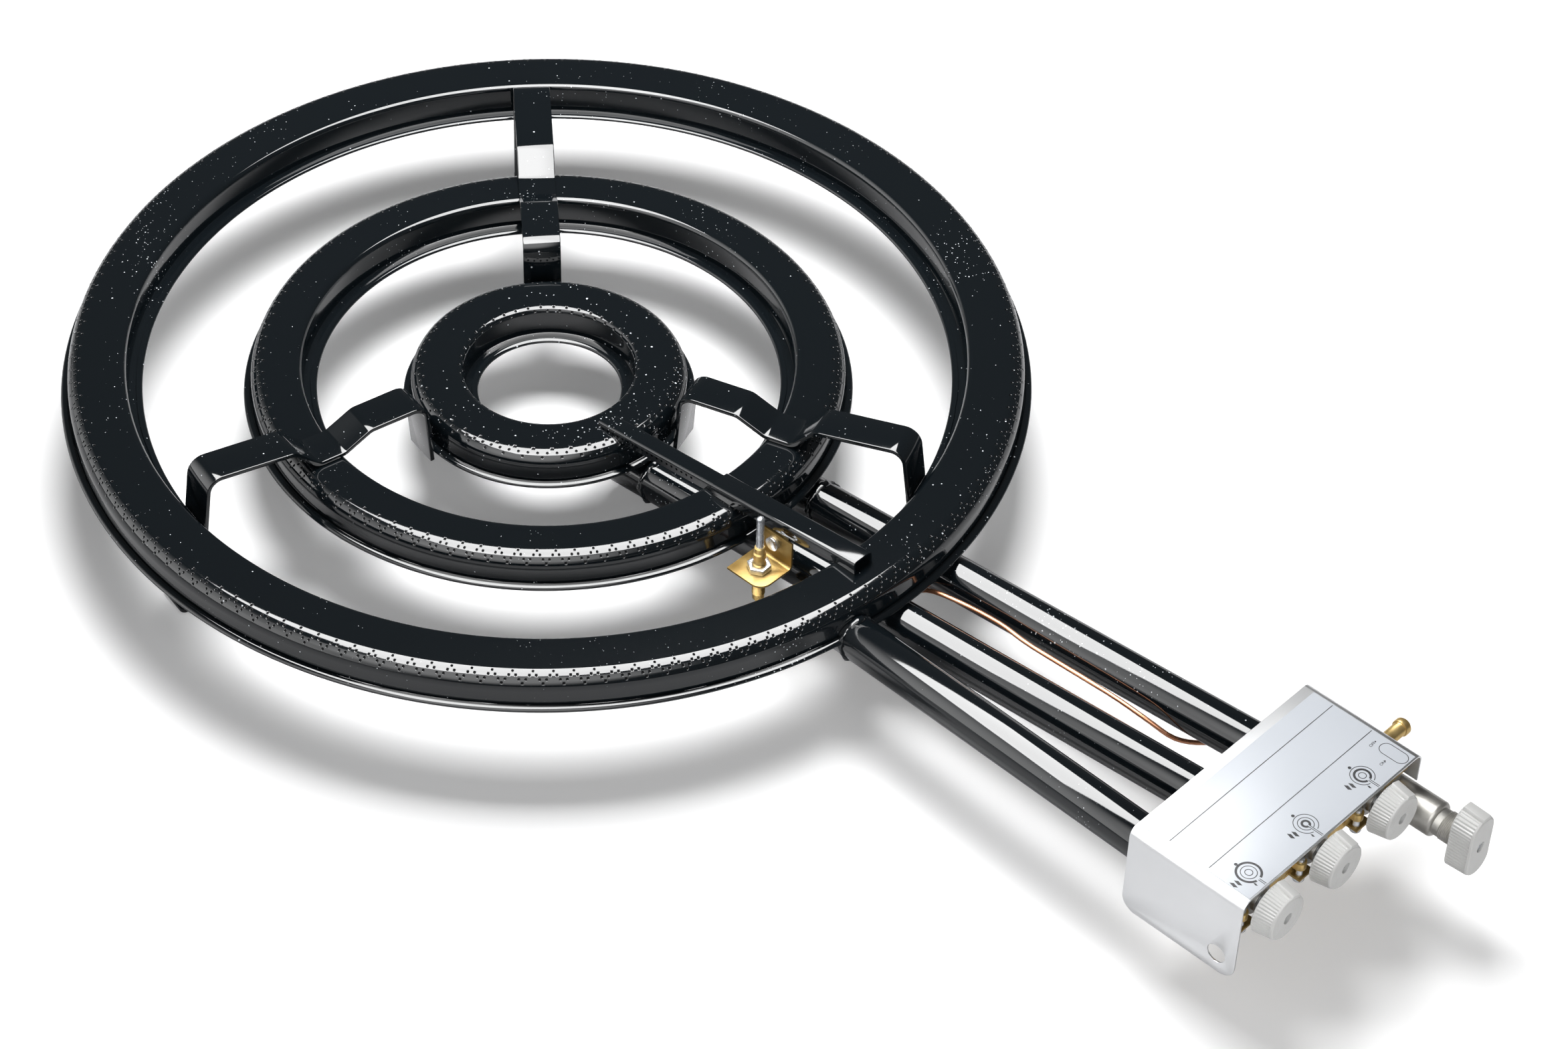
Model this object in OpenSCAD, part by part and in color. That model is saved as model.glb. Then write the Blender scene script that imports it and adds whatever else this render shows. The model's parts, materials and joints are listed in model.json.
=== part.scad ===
// Three-ring gas burner for a wide pan, with its tap box on three feed tubes.
// The rings are concentric about a vertical axis; the tap box lies towards -Y.

/* [Rings] */
// radius over the outer ring's rolled lip
outer_ring_r = 300; // [260:1:340]
// radius over the inner ring's rolled lip
inner_ring_r = 91; // [80:0.5:100]
// share of the clear space between the inner and outer rings that lies outside the middle ring
outer_gap_share = 0.535; // [0.45:0.005:0.6]
// outer ring, wall to wall
outer_wall_w = 36; // [30:0.5:42]
// middle ring, wall to wall
middle_wall_w = 31.5; // [26:0.5:38]
// inner ring, wall to wall
inner_wall_w = 32.7; // [26:0.1:38]
// lip outside the outer wall
lip_out = 5; // [4:0.1:8]
// lip inside the inner wall
lip_in = 8.7; // [5:0.1:12]
// thickness of the rolled lip
lip_t = 4; // [3.4:0.1:6]
// width of the lip's folded leaf
hem_w = 3.8; // [3:0.1:4.6]
// sheet of the upper shells
shell_t = 1.5; // [1:0.1:2.5]
// top of a ring above the middle of its lip
ring_rise = 20.5; // [16:0.5:26]
// radius of the ported outer shoulder
shoulder_out = 9.5; // [7:0.5:12]
// radius of the inner shoulder
shoulder_in = 4; // [3:0.5:8]
// middle ring lies this far below the outer ring
middle_drop = 11.5; // [10:0.1:14]
// inner ring lies this far below the outer ring
inner_drop = 20; // [18:0.1:24]
// radius of a gas port
port_r = 0.8; // [0.5:0.1:1.1]
// pitch of the ports along a ring
port_pitch = 11.8; // [9:0.1:20]
// outer lip's middle above the floor
stand_h = 61; // [56:1:75]

/* [Pan supports] */
// width of the support strip
strip_w = 24; // [16:1:30]
// thickness of the support strip
strip_t = 3; // [2:0.5:4]
// direction of the rear support
support_az = 48.5; // [40:0.5:55]
// bend radius at the middle of the strip
strip_bend = 9; // [5:0.5:12]
// end of the foot, outside the outer ring's inner lip
foot_out = 19.7; // [16:0.1:24]
// radius of the foot's corners
foot_corner = 3.5; // [1:0.5:6]
// bend above the foot, outside the outer ring's inner lip
ankle_out = 6.2; // [5.5:0.1:6.5]
// outer top corner, inside the outer ring's inner lip
rest_out_in = 6.4; // [6:0.1:9]
// height of the outer top corner over the outer lip
rest_out_z = 33.6; // [28:0.1:40]
// outer rest ends this far inside the middle ring's lip
rest_in_in = 3.3; // [0:0.1:5]
// height of the outer rest's inner end
rest_in_z = 26.5; // [22:0.5:30]
// strip lands this far inside the middle ring's outer wall
land_in = 13.3; // [10:0.1:16]
// length of the landing on the middle ring
land_l = 18; // [14:0.5:20]
// inner rest starts this far inside the middle ring's inner lip
inner_rest_in = 10.1; // [6:0.1:14]
// height of the inner rest
inner_rest_z = 20; // [16:0.5:24]
// inner top corner, outside the inner ring's lip
inner_top_out = 5; // [3:0.1:8]
// depth of the inner leg below the inner lip
inner_leg_drop = 3; // [1:0.5:6]

/* [Feed tubes] */
// outside radius of the feed tubes
tube_r = 13.45; // [11:0.05:14]
// tube wall
tube_t = 2.3; // [1.5:0.1:3]
// tubes end this far in front of the ring axis
tube_reach = 545; // [520:1:570]
// height of the tube mouths over the outer lip
tube_mouth_z = 6.5; // [4:0.5:10]
// distance from tube to tube at the taps
tap_pitch = 51; // [46:0.5:56]
// inner tube's closed end, middle below the inner ring's lip
inner_end_drop = 20.3; // [19:0.1:24]
// middle tube's closed end, middle below the middle ring's lip
middle_end_drop = 20.2; // [19:0.1:24]
// outer tube's closed end, middle below the outer lip
outer_end_drop = 4; // [2:0.1:6]
// that end lies inside the outer ring's lip
outer_end_in = 13.5; // [8:0.5:18]
// and left of the ring axis
outer_end_x = 38; // [30:1:46]
// outside radius of the risers under the inner and middle rings
riser_r = 10.5; // [8:0.5:12]
// riser wall
riser_t = 2; // [1.5:0.1:3]
// radius of the gas opening into the outer ring
outer_port_r = 2.5; // [2:0.5:3]

/* [Carry-over] */
// line of the channel, left of the ring axis
channel_x = 12.5; // [8:0.5:18]
// width of the narrow channel
channel_w = 12.5; // [10:0.1:14]
// width of the cover over it
hood_w = 15.4; // [13:0.1:18]
// height of the cover
hood_h = 8.5; // [7:0.1:11]
// sheet of channel and cover
channel_t = 1.2; // [0.8:0.1:1.6]
// bend radius of channel and cover
channel_bend = 2; // [1.4:0.1:3]
// channel starts this far inside the inner ring's outer wall
channel_in = 24; // [18:0.5:28]
// channel ends under the cover, inside the middle ring's outer wall
channel_out = 12.3; // [6:0.1:16]
// cover starts this far inside the middle ring's outer wall
hood_in = 24.3; // [20:0.1:28]
// cover ends this far inside the outer ring's outer wall
hood_out = 19; // [12:0.5:26]
// radius of the small gas holes in the channel
spark_r = 0.9; // [0.6:0.1:1.2]
// their pitch
spark_pitch = 4.2; // [3:0.1:6]
// their count
spark_n = 19; // [8:1:20]

/* [Thermocouple] */
// sensor left of the ring axis
sensor_x = 33; // [28:0.5:40]
// sensor outside the middle ring's lip
sensor_out = 22.7; // [18:0.1:30]
// tip height over the outer lip
sensor_top = 33; // [26:0.5:38]
// lower end below the outer lip
sensor_low = 33; // [26:0.5:38]
// sensor tip radius
tip_r = 2.4; // [1.8:0.1:3]
// sleeve radius
sleeve_r = 4; // [3:0.1:5]
// sleeve's top over the outer lip
sleeve_top = 9; // [4:0.5:14]
// nut across flats
nut_af = 13; // [10:0.5:14]
// nut thickness
nut_h = 4; // [3:0.5:6]
// bracket sheet
bracket_t = 1.5; // [1:0.1:2.5]
// bracket width
bracket_w = 28; // [20:1:34]
// bracket's horizontal leaf, below the outer lip
bracket_drop = 10; // [6:0.5:14]
// bracket's vertical leaf reaches this high
bracket_top = 11; // [6:0.5:12]
// bracket's reach to the left
bracket_reach = 46; // [42:0.5:50]
// bracket screw radius
lug_screw_r = 2.5; // [2:0.1:3]
// bracket screw height over the outer lip
lug_screw_z = 4; // [2:0.5:6]
// screw head radius
lug_head_r = 4.6; // [3.5:0.1:6]
// screw head height
lug_head_h = 2.8; // [2:0.1:4]
// lug sheet
lug_t = 2; // [1.5:0.1:3]
// lug length
lug_w = 20; // [14:1:24]
// lug's lower edge below the outer lip
lug_low = 3; // [0:0.5:6]
// lug's upper edge over the outer lip
lug_top = 17; // [12:0.5:18]
// copper lead's radius
lead_r = 1.5; // [1:0.1:2]

/* [Tap box] */
// top of the cover over the tap spindles
cover_rise = 13.4; // [11.5:0.1:18]
// front edge in front of the manifold
cover_ahead = 7; // [4:0.5:9]
// rear edge behind the tube mouths
cover_back = 20; // [14:0.5:26]
// left side, left of the left tap
cover_out = 20; // [19:0.5:28]
// right side, right of the safety valve's axis
valve_in = 8; // [7:0.5:12]
// height of the left side
left_side_h = 62; // [50:1:66]
// height of the right side
right_side_h = 22; // [16:1:23]
// cover sheet
cover_t = 1.2; // [0.8:0.1:2]
// bend radius of the cover
cover_bend = 6; // [4:0.5:9]
// radius of the left side's lower corners
cover_corner = 10; // [5:0.5:14]
// radius of the hole in the left side
side_hole_r = 6; // [4:0.5:7]
// hole from the front edge and the lower edge
side_hole_in = 13; // [11:0.5:16]
// plate on top of the cover
label_t = 0.4; // [0.3:0.1:0.6]
// bare band behind the plate
label_band = 7; // [4:0.5:10]
// bare band in front of the plate and beside it
label_edge = 1; // [0.5:0.1:2]
// plate that ties the tubes to the cover
tie_t = 3; // [2:0.5:4]
// its distance behind the tube mouths
tie_back = 8; // [6:0.5:12]
// its lower edge below the outer lip
tie_low = 12; // [8:0.5:16]
// its upper edge over the outer lip
tie_top = 26; // [22:0.5:30]

/* [Taps] */
// tap spindles over the tube mouths
tap_rise = 14.1; // [12:0.1:18]
// manifold depth
bar_d = 14; // [12:0.5:18]
// manifold height
bar_h = 16; // [14:0.5:18]
// manifold front in front of the tube mouths
bar_ahead = 52; // [51:0.5:58]
// manifold's left end, left of the left tap
bar_end = 12; // [10:0.5:15]
// manifold bore radius
bar_bore_r = 3.5; // [2.5:0.1:4]
// notch over the safety valve
bar_notch = 4; // [2:0.5:6]
// notch length
bar_notch_l = 20; // [16:0.5:22]
// lug radius
ear_r = 3.4; // [3:0.1:4]
// lug height
ear_h = 5; // [3:0.5:6]
// lug to the left of its tap
ear_x = 15; // [14:0.1:15.4]
// lug middle in front of the manifold
ear_out = 3.3; // [3:0.1:4]
// clamp bolt radius
bolt_r = 2; // [1.5:0.1:2.2]
// clamp bolt head radius
bolt_head_r = 3.4; // [3:0.1:3.5]
// clamp bolt head height
bolt_head_h = 2.2; // [1.5:0.1:3]
// clamp plate width
clamp_w = 12; // [9:0.5:14]
// clamp plate thickness
clamp_t = 1.6; // [1:0.1:2.5]
// clamp plate left edge from its bolt
clamp_in = 3.5; // [3:0.1:3.7]
// tap shank radius in the manifold
shank_r = 6; // [5:0.1:6.5]
// tap barrel radius
barrel_r = 9; // [8:0.1:10]
// tap barrel length
barrel_l = 24; // [18:0.5:28]
// tap outlet width
outlet_w = 14; // [10:0.5:16]
// tap outlet boss radius
jet_boss_r = 6; // [5:0.1:7]
// tap outlet boss length
jet_boss_l = 4; // [2:0.5:6]
// injector thread radius
jet_thread_r = 3; // [2.5:0.1:4]
// injector thread length
jet_thread_l = 7; // [5:0.5:9]
// injector hexagon across flats
jet_af = 10; // [8:0.5:12]
// injector hexagon length
jet_hex_l = 5; // [4:0.5:7]
// injector nozzle radius
jet_r = 3.2; // [2.5:0.1:4]
// injector nozzle length
jet_l = 9; // [6:0.5:12]
// injector orifice radius
orifice_r = 0.6; // [0.4:0.05:1]
// tap front plate radius
front_r = 10; // [9:0.1:10.4]
// tap front plate thickness
front_t = 2.5; // [2:0.1:3]
// tap front collar radius
front_collar_r = 7; // [6:0.1:8]
// tap front collar length
front_collar_l = 2.5; // [1.5:0.1:3]
// spindle radius
spindle_r = 4; // [3:0.1:5]
// spindle length inside the tap
spindle_in = 16; // [12:0.5:20]
// travel when a knob is pushed
push = 2.5; // [1.5:0.1:3]
// thrust collar radius
thrust_r = 6.8; // [6:0.1:8]
// thrust collar thickness
thrust_t = 1.5; // [1:0.1:2.5]

/* [Knobs] */
// knob radius
knob_r = 16.5; // [15:0.1:19]
// knob depth
knob_d = 13; // [12:0.5:16]
// back of the knobs in front of the manifold
knob_gap = 10; // [9.8:0.1:13]
// knob wall
knob_wall = 2.5; // [2:0.1:3]
// thickness of the knob's face
knob_face = 3.2; // [2.5:0.1:4]
// hub radius
hub_r = 7.4; // [7:0.1:9]
// hub starts behind the knob's back by this much inside
hub_in = 1.6; // [1.5:0.1:2.5]
// radius of the screw recess
recess_r = 4.6; // [4:0.1:6]
// depth of the screw recess
recess_d = 4.2; // [3:0.1:5]
// floor under the screw head
recess_web = 1.2; // [0.8:0.1:2]
// rounding of the knob's front edge
knob_round = 2.4; // [1:0.1:2.5]
// radius of the grip grooves
groove_r = 0.5; // [0.3:0.05:0.7]
// number of grip grooves
groove_n = 56; // [30:1:70]
// width of the pointer ridge
ridge_w = 3; // [2:0.1:4]
// height of the pointer ridge
ridge_h = 1; // [0.6:0.1:1.5]
// knob screw radius
knob_screw_r = 1.5; // [1.2:0.1:2]
// knob screw head radius
knob_head_r = 3.2; // [2.5:0.1:4]
// knob screw head height
knob_head_h = 2; // [1.5:0.1:3]
// knob screw length
knob_screw_l = 7; // [5:0.5:9]

/* [Safety valve] */
// valve axis, right of the right tap
valve_out = 29; // [27:0.5:31]
// valve axis below the tap spindles
valve_drop = 18.6; // [17.6:0.1:21]
// valve body radius
valve_r = 11; // [9:0.5:11.5]
// valve body's rear end behind the manifold's front
valve_back = 41; // [37:1:45]
// valve body's length
valve_l = 71; // [66:1:74]
// rounding at the ends of the body
valve_round = 2.5; // [1:0.1:4]
// threaded collar radius
neck_r = 8.5; // [7:0.1:9]
// threaded collar length
neck_l = 12; // [9:0.5:13]
// coupling hexagon across flats
coupling_af = 12.5; // [10:0.5:13]
// union nut across flats
union_af = 12; // [10:0.5:14]
// union nut length
union_l = 11; // [8:0.5:14]
// valve travel when pressed and held
valve_push = 4.5; // [3:0.1:5]
// valve spindle length inside the body
valve_spindle_in = 22; // [16:0.5:30]
// oblong knob height
oblong_h = 50; // [40:0.5:54]
// oblong knob width
oblong_w = 27; // [25:0.5:30]
// oblong knob depth
oblong_d = 16; // [14:0.5:18]
// oblong knob's back in front of the collar's end
oblong_gap = 1; // [0.5:0.1:2]
// grooves on each long side of the oblong knob
oblong_groove_n = 15; // [8:1:18]
// pitch of those grooves
oblong_groove_pitch = 1.7; // [1.4:0.1:2]
// hose barb in front of the valve body's rear end
barb_ahead = 12; // [10:0.5:20]
// barb's length outside the valve body
barb_l = 35; // [26:0.5:44]
// barb radius along its plain stretch
barb_r = 4.5; // [4:0.1:5.5]
// barb ring radius
barb_ring_r = 5.4; // [5:0.1:6]
// barb bore radius
barb_bore_r = 3; // [2:0.1:3.5]
// barb hexagon across flats
barb_af = 15; // [12:0.5:17]
// barb hexagon length
barb_hex_l = 6; // [4:0.5:8]
// barb thread length in the valve
barb_thread_l = 6; // [4:0.5:7]
// barb thread radius
barb_thread_r = 5; // [4:0.1:5.5]
// barb ring length
barb_ring_l = 4; // [3:0.5:6]

/* [Clearances] */
// gap left at welds and lands
weld_gap = 0.2; // [0.1:0.05:0.4]
// clearance round fixed shanks
fit_slack = 0.05; // [0.03:0.01:0.1]
// clearance round turning spindles
run_slack = 0.05; // [0.02:0.01:0.1]
// gap between pieces that move past each other
free_gap = 0.4; // [0.3:0.05:0.6]
// overrun of cuts
over = 1; // [0.5:0.5:2]

/* [Hidden] */
$fn = 64;
fine_fn = 160;
arc_n = 8;
shoulder_n = 5;
hem_n = 6;
supports = 3;
hex_fn = 6;
half = 0.5;
full_turn = 360;
half_turn = 180;
right_turn = 90;
pan_t = (lip_t - shell_t) * half;
mid = lip_t * half;
enamel = [0.03, 0.035, 0.05];
steel = [0.7, 0.7, 0.72];
alu = [0.82, 0.84, 0.87];
brass_c = [0.75, 0.58, 0.28];
zinc_y = [0.72, 0.66, 0.4];
copper_c = [0.72, 0.4, 0.25];
grey = [0.78, 0.78, 0.76];

// places along and across the burner follow from the sizes above
outer_inlip_r = outer_ring_r - lip_out - outer_wall_w - lip_in;
middle_ring_w = lip_out + middle_wall_w + lip_in;
clear_space = outer_inlip_r - inner_ring_r - middle_ring_w;
middle_ring_r = outer_inlip_r - clear_space * outer_gap_share;
middle_inlip_r = middle_ring_r - middle_ring_w;
tap_z = tube_mouth_z + tap_rise;
cover_top = tap_z + cover_rise;
bar_front = tube_reach + bar_ahead;
cover_front = bar_front + cover_ahead;
cover_d = cover_front - tube_reach + cover_back;
knob_back = bar_front + knob_gap;
valve_x = tap_pitch + valve_out;
valve_z = tap_z - valve_drop;
valve_rear = bar_front - valve_back;
valve_front = valve_rear + valve_l;
cover_left = tap_pitch + cover_out;
cover_right = valve_x + valve_in;
bar_left = tap_pitch + bar_end;
barb_y = valve_rear + barb_ahead;
barb_tip = valve_x + valve_r + barb_l;
sensor_y = middle_ring_r + sensor_out;

// the front face of the oblong knob is the foremost point of the burner
knob_front = valve_front + neck_l + oblong_gap + oblong_d;
// the ring axis stands so far behind the middle of the whole
ring_y = (knob_front - outer_ring_r) * half;
hex_share = 1 / cos(right_turn / supports);
outer_wall_r = outer_ring_r - lip_out;
middle_wall_r = middle_ring_r - lip_out;
inner_wall_r = inner_ring_r - lip_out;
foot_r = outer_inlip_r + foot_out;
ankle_r = outer_inlip_r + ankle_out;
rest_out_r = outer_inlip_r - rest_out_in;
rest_in_r = middle_ring_r - rest_in_in;
land_out_r = middle_wall_r - land_in;
land_in_r = land_out_r - land_l;
inner_rest_r = middle_inlip_r - inner_rest_in;
inner_top_r = inner_ring_r + inner_top_out;
channel_start = inner_wall_r - channel_in;
channel_end = middle_wall_r - channel_out;
hood_start = middle_wall_r - hood_in;
hood_end = outer_wall_r - hood_out;

module at_rings() {
  translate([0, ring_y, stand_h]) children();
}

// lies along -Y from its back end
module forward(x, reach, z) {
  translate([x, -reach, z]) rotate([right_turn, 0, 0]) children();
}

// lies along +Y from its front end
module backward(x, reach, z) {
  translate([x, -reach, z]) rotate([-right_turn, 0, 0]) children();
}

// points of an arc about c
function arc(c, r, a, b, n) =
  [for (i = [0:n]) c + r * [cos(a + (b - a) * i / n), sin(a + (b - a) * i / n)]];

function unit(v) = v / norm(v);

function flip(v) = [for (i = [1:len(v)]) v[len(v) - i]];

function left_of(v) = [-v[1], v[0]];

function wrap(a) = a > half_turn ? a - full_turn : a < -half_turn ? a + full_turn : a;

// one bend of a strip: the points of its side s round corner q
function bend(p, q, w, r, t, s) =
  let(u = unit(p - q), v = unit(w - q), h = acos(u * v) * half)
  let(c = q + unit(u + v) * r / sin(h), turn = sign(cross(q - p, w - q)))
  let(e = q + u * r / tan(h) - c, f = q + v * r / tan(h) - c)
  let(a = atan2(e[1], e[0]), d = wrap(atan2(f[1], f[0]) - a))
  arc(c, r - s * turn * t * half, a, a + d, arc_n);

// one side of a bent strip along path p
function edge(p, r, t, s) =
  let(n = len(p) - 1)
  concat([p[0] + s * half * t * left_of(unit(p[1] - p[0]))],
    [for (i = [1:n - 1]) each bend(p[i - 1], p[i], p[i + 1], r, t, s)],
    [p[n] + s * half * t * left_of(unit(p[n] - p[n - 1]))]);

// outline of a sheet of thickness t bent along path p with middle radius r
function sheet(p, r, t) = concat(edge(p, r, t, 1), flip(edge(p, r, t, -1)));

// upper surface of a ring from its inner wall to its outer wall, raised by g
function crown(wall, w, g) =
  concat(arc([wall - w + shoulder_in, ring_rise - shoulder_in], shoulder_in + g,
      half_turn, right_turn, arc_n),
    arc([wall - shoulder_out, ring_rise - shoulder_out], shoulder_out + g,
      right_turn, 0, shoulder_n));

function shell_outline(wall, w) =
  let(foot = shell_t * half, inner = wall - w - lip_in + mid, outer = wall + lip_out - mid)
  concat([[inner, -foot], [inner, foot], [wall - w, foot]],
    crown(wall, w, 0),
    [[wall, foot], [outer, foot], [outer, -foot], [wall - shell_t, -foot]],
    flip(crown(wall, w, -shell_t)),
    [[wall - w + shell_t, -foot]]);

function pan_outline(wall, w) =
  let(foot = shell_t * half, inner = wall - w - lip_in + mid, outer = wall + lip_out - mid)
  concat([[inner + hem_w, mid]],
    arc([inner, 0], mid, right_turn, right_turn + half_turn, hem_n),
    arc([outer, 0], mid, -right_turn, right_turn, hem_n),
    [[outer + mid - hem_w, mid], [outer + mid - hem_w, foot]],
    arc([outer, 0], foot, right_turn, -right_turn, hem_n),
    arc([inner, 0], foot, right_turn + half_turn, right_turn, hem_n),
    [[inner + hem_w, foot]]);

// all that a ring takes up, grown by the weld gap
function ring_outline(wall, w) =
  let(g = weld_gap, inner = wall - w - lip_in, outer = wall + lip_out)
  concat([[inner - g, -mid - g], [inner - g, mid + g], [wall - w - g, mid + g]],
    crown(wall, w, g),
    [[wall + g, mid + g], [outer + g, mid + g], [outer + g, -mid - g]]);

// ports lie in the middle of two steps of the outer shoulder, in turn
port_steps = [1, 2];
function port_tilt(i) = (port_steps[i % len(port_steps)] + half) * right_turn / shoulder_n;

// a ring's shell with a zig-zag row of gas ports round its outer shoulder
module shell_solid(wall, w, drop) {
  port_n = round(PI * wall / port_pitch) * len(port_steps);
  translate([0, 0, -drop]) difference() {
    rotate_extrude($fn = fine_fn) polygon(shell_outline(wall, w));
    for (i = [0:port_n - 1])
      rotate([0, 0, full_turn * i / port_n])
        translate([wall - shoulder_out, 0, ring_rise - shoulder_out])
          rotate([0, port_tilt(i), 0])
            translate([0, 0, shoulder_out - shell_t - over])
              cylinder(r = port_r, h = shell_t + over + over);
  }
}

module pan_solid(wall, w, drop) {
  translate([0, 0, -drop])
    rotate_extrude($fn = fine_fn) polygon(pan_outline(wall, w));
}

module ring_space(wall, w, drop) {
  translate([0, 0, -drop])
    rotate_extrude($fn = fine_fn) polygon(ring_outline(wall, w));
}

module outer_ring_shell() {
  color(enamel) at_rings() shell_solid(outer_wall_r, outer_wall_w, 0);
}

module outer_ring_pan() {
  color(enamel) at_rings() difference() {
    pan_solid(outer_wall_r, outer_wall_w, 0);
    translate([outer_end[0], outer_end[1] - tube_t - outer_port_r, -mid - over])
      cylinder(r = outer_port_r, h = lip_t);
  }
}

module middle_ring_shell() {
  color(enamel) at_rings() shell_solid(middle_wall_r, middle_wall_w, middle_drop);
}

module middle_ring_pan() {
  color(enamel) at_rings() difference() {
    pan_solid(middle_wall_r, middle_wall_w, middle_drop);
    riser_way(tap_pitch, middle_riser_y, -middle_drop);
  }
}

module inner_ring_shell() {
  color(enamel) at_rings() shell_solid(inner_wall_r, inner_wall_w, inner_drop);
}

module inner_ring_pan() {
  color(enamel) at_rings() difference() {
    pan_solid(inner_wall_r, inner_wall_w, inner_drop);
    riser_way(0, inner_riser_y, -inner_drop);
  }
}

// where a line at x crosses the circle of radius r, in front of the ring axis
function on_circle(r, x) = -sqrt(r * r - x * x);

// each riser stands under the middle of its ring, close to its tube's closed end
inner_riser_y = on_circle(inner_wall_r - inner_wall_w * half, 0);
middle_riser_y = on_circle(middle_wall_r - middle_wall_w * half, tap_pitch);
riser_end = riser_r + tube_t;
inner_end = [0, inner_riser_y + riser_end, -inner_drop - inner_end_drop];
middle_end = [tap_pitch, middle_riser_y + riser_end, -middle_drop - middle_end_drop];
outer_end = [-outer_end_x, on_circle(outer_ring_r - outer_end_in, outer_end_x), -outer_end_drop];

module riser_way(x, y, z) {
  translate([x, y, z - mid - over])
    cylinder(r = riser_r - riser_t, h = lip_t);
}

// cylinder from point p to point q
module rod(p, q, r) {
  d = q - p;
  translate(p)
    rotate([0, acos(d[2] / norm(d)), atan2(d[1], d[0])])
      cylinder(r = r, h = norm(d));
}

// feed tube from its open mouth to its closed end
module tube_outside(p, q) {
  rod(p, q, tube_r);
}

module tube_inside(p, q) {
  d = unit(q - p);
  rod(p - d * over, q - d * tube_t, tube_r - tube_t);
}

module riser_tube(p, q, ring_low) {
  top = ring_low - mid - weld_gap;
  difference() {
    union() {
      tube_outside(p, q);
      translate([q[0], q[1] - riser_end, q[2]]) cylinder(r = riser_r, h = top - q[2]);
    }
    tube_inside(p, q);
    translate([q[0], q[1] - riser_end, q[2]])
      cylinder(r = riser_r - riser_t, h = top - q[2] + over);
  }
}

module outer_feed_tube() {
  p = tube_mouth(-tap_pitch);
  color(enamel) at_rings() difference() {
    tube_outside(p, outer_end);
    tube_inside(p, outer_end);
    ring_space(outer_wall_r, outer_wall_w, 0);
  }
}

module middle_feed_tube() {
  color(enamel) at_rings() riser_tube(tube_mouth(tap_pitch), middle_end, -middle_drop);
}

module inner_feed_tube() {
  color(enamel) at_rings() riser_tube(tube_mouth(0), inner_end, -inner_drop);
}

// pan support: one strip bent over the rings, its outer leg turned out into a foot
land_z = ring_rise - middle_drop + (strip_t + weld_gap) * half;
inner_leg_r = inner_ring_r + weld_gap + strip_t * half;
foot_z = strip_t * half - stand_h;
support_path = [[foot_r, foot_z], [ankle_r, foot_z], [rest_out_r, rest_out_z],
  [rest_in_r, rest_in_z], [land_out_r, land_z], [land_in_r, land_z],
  [inner_rest_r, inner_rest_z], [inner_top_r, inner_rest_z],
  [inner_leg_r, -inner_drop - mid - inner_leg_drop]];

module pan_support(turn) {
  at_rings() rotate([0, 0, turn]) rotate([right_turn, 0, 0])
    translate([0, 0, -strip_w * half]) difference() {
      linear_extrude(strip_w) polygon(sheet(support_path, strip_bend, strip_t));
      foot_corner_cut();
      translate([0, 0, strip_w]) mirror([0, 0, 1]) foot_corner_cut();
    }
}

// what rounds one corner of the foot takes away
module foot_corner_cut() {
  translate([foot_r - foot_corner, foot_z - strip_t, 0]) difference() {
    translate([0, 0, -over]) cube([foot_corner + over, strip_t + strip_t, foot_corner + over]);
    translate([0, -over, foot_corner]) rotate([-right_turn, 0, 0])
      cylinder(h = strip_t + strip_t + over + over, r = foot_corner);
  }
}

module rear_pan_support() {
  color(enamel) pan_support(support_az);
}

module left_pan_support() {
  color(enamel) pan_support(support_az + full_turn / supports);
}

module right_pan_support() {
  color(enamel) pan_support(support_az - full_turn / supports);
}

// carry-over channel between the ring tops, rising outwards with them
channel_rise = atan((middle_drop) / (hood_end - channel_end));

module along_channel() {
  translate([-channel_x, -channel_end, ring_rise - middle_drop])
    rotate([-channel_rise, 0, 0]) children();
}

// an open-bottomed channel, w over all, from station a to station b
module gutter(w, h, a, b) {
  x = (w - channel_t) * half;
  y = h - channel_t * half;
  translate([0, channel_end - a, 0]) rotate([right_turn, 0, 0])
    linear_extrude(b - a)
      polygon(sheet([[-x, 0], [-x, y], [x, y], [x, 0]], channel_bend, channel_t));
}

channel_h = hood_h - channel_t - weld_gap;

module carry_over_channel() {
  color(enamel) at_rings() difference() {
    along_channel() difference() {
      gutter(channel_w, channel_h, channel_start, channel_end);
      for (i = [1:spark_n])
        translate([-channel_w, channel_end - channel_start - i * spark_pitch, channel_h * half])
          rotate([0, right_turn, 0]) cylinder(r = spark_r, h = channel_w);
    }
    ring_space(inner_wall_r, inner_wall_w, inner_drop);
    ring_space(middle_wall_r, middle_wall_w, middle_drop);
  }
}

module carry_over_cover() {
  color(enamel) at_rings() difference() {
    along_channel() gutter(hood_w, hood_h, hood_start, hood_end);
    ring_space(middle_wall_r, middle_wall_w, middle_drop);
    ring_space(outer_wall_r, outer_wall_w, 0);
  }
}

// thermocouple: lug inside the cover's left wall, bracket, sensor and lead
lug_x = -channel_x - hood_w * half + channel_t + weld_gap;

// a round or six-sided rod along +X from x, on the bracket screw's line
module on_screw(x, r, l, n) {
  translate([x, -sensor_y, lug_screw_z]) rotate([0, right_turn, 0]) cylinder(r = r, h = l, $fn = n);
}

module thermocouple_lug() {
  color(enamel) at_rings() difference() {
    translate([lug_x, -sensor_y - lug_w * half, -lug_low]) cube([lug_t, lug_w, lug_top + lug_low]);
    on_screw(lug_x - over, lug_screw_r + fit_slack, lug_t + over + over, $fn);
  }
}

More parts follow.
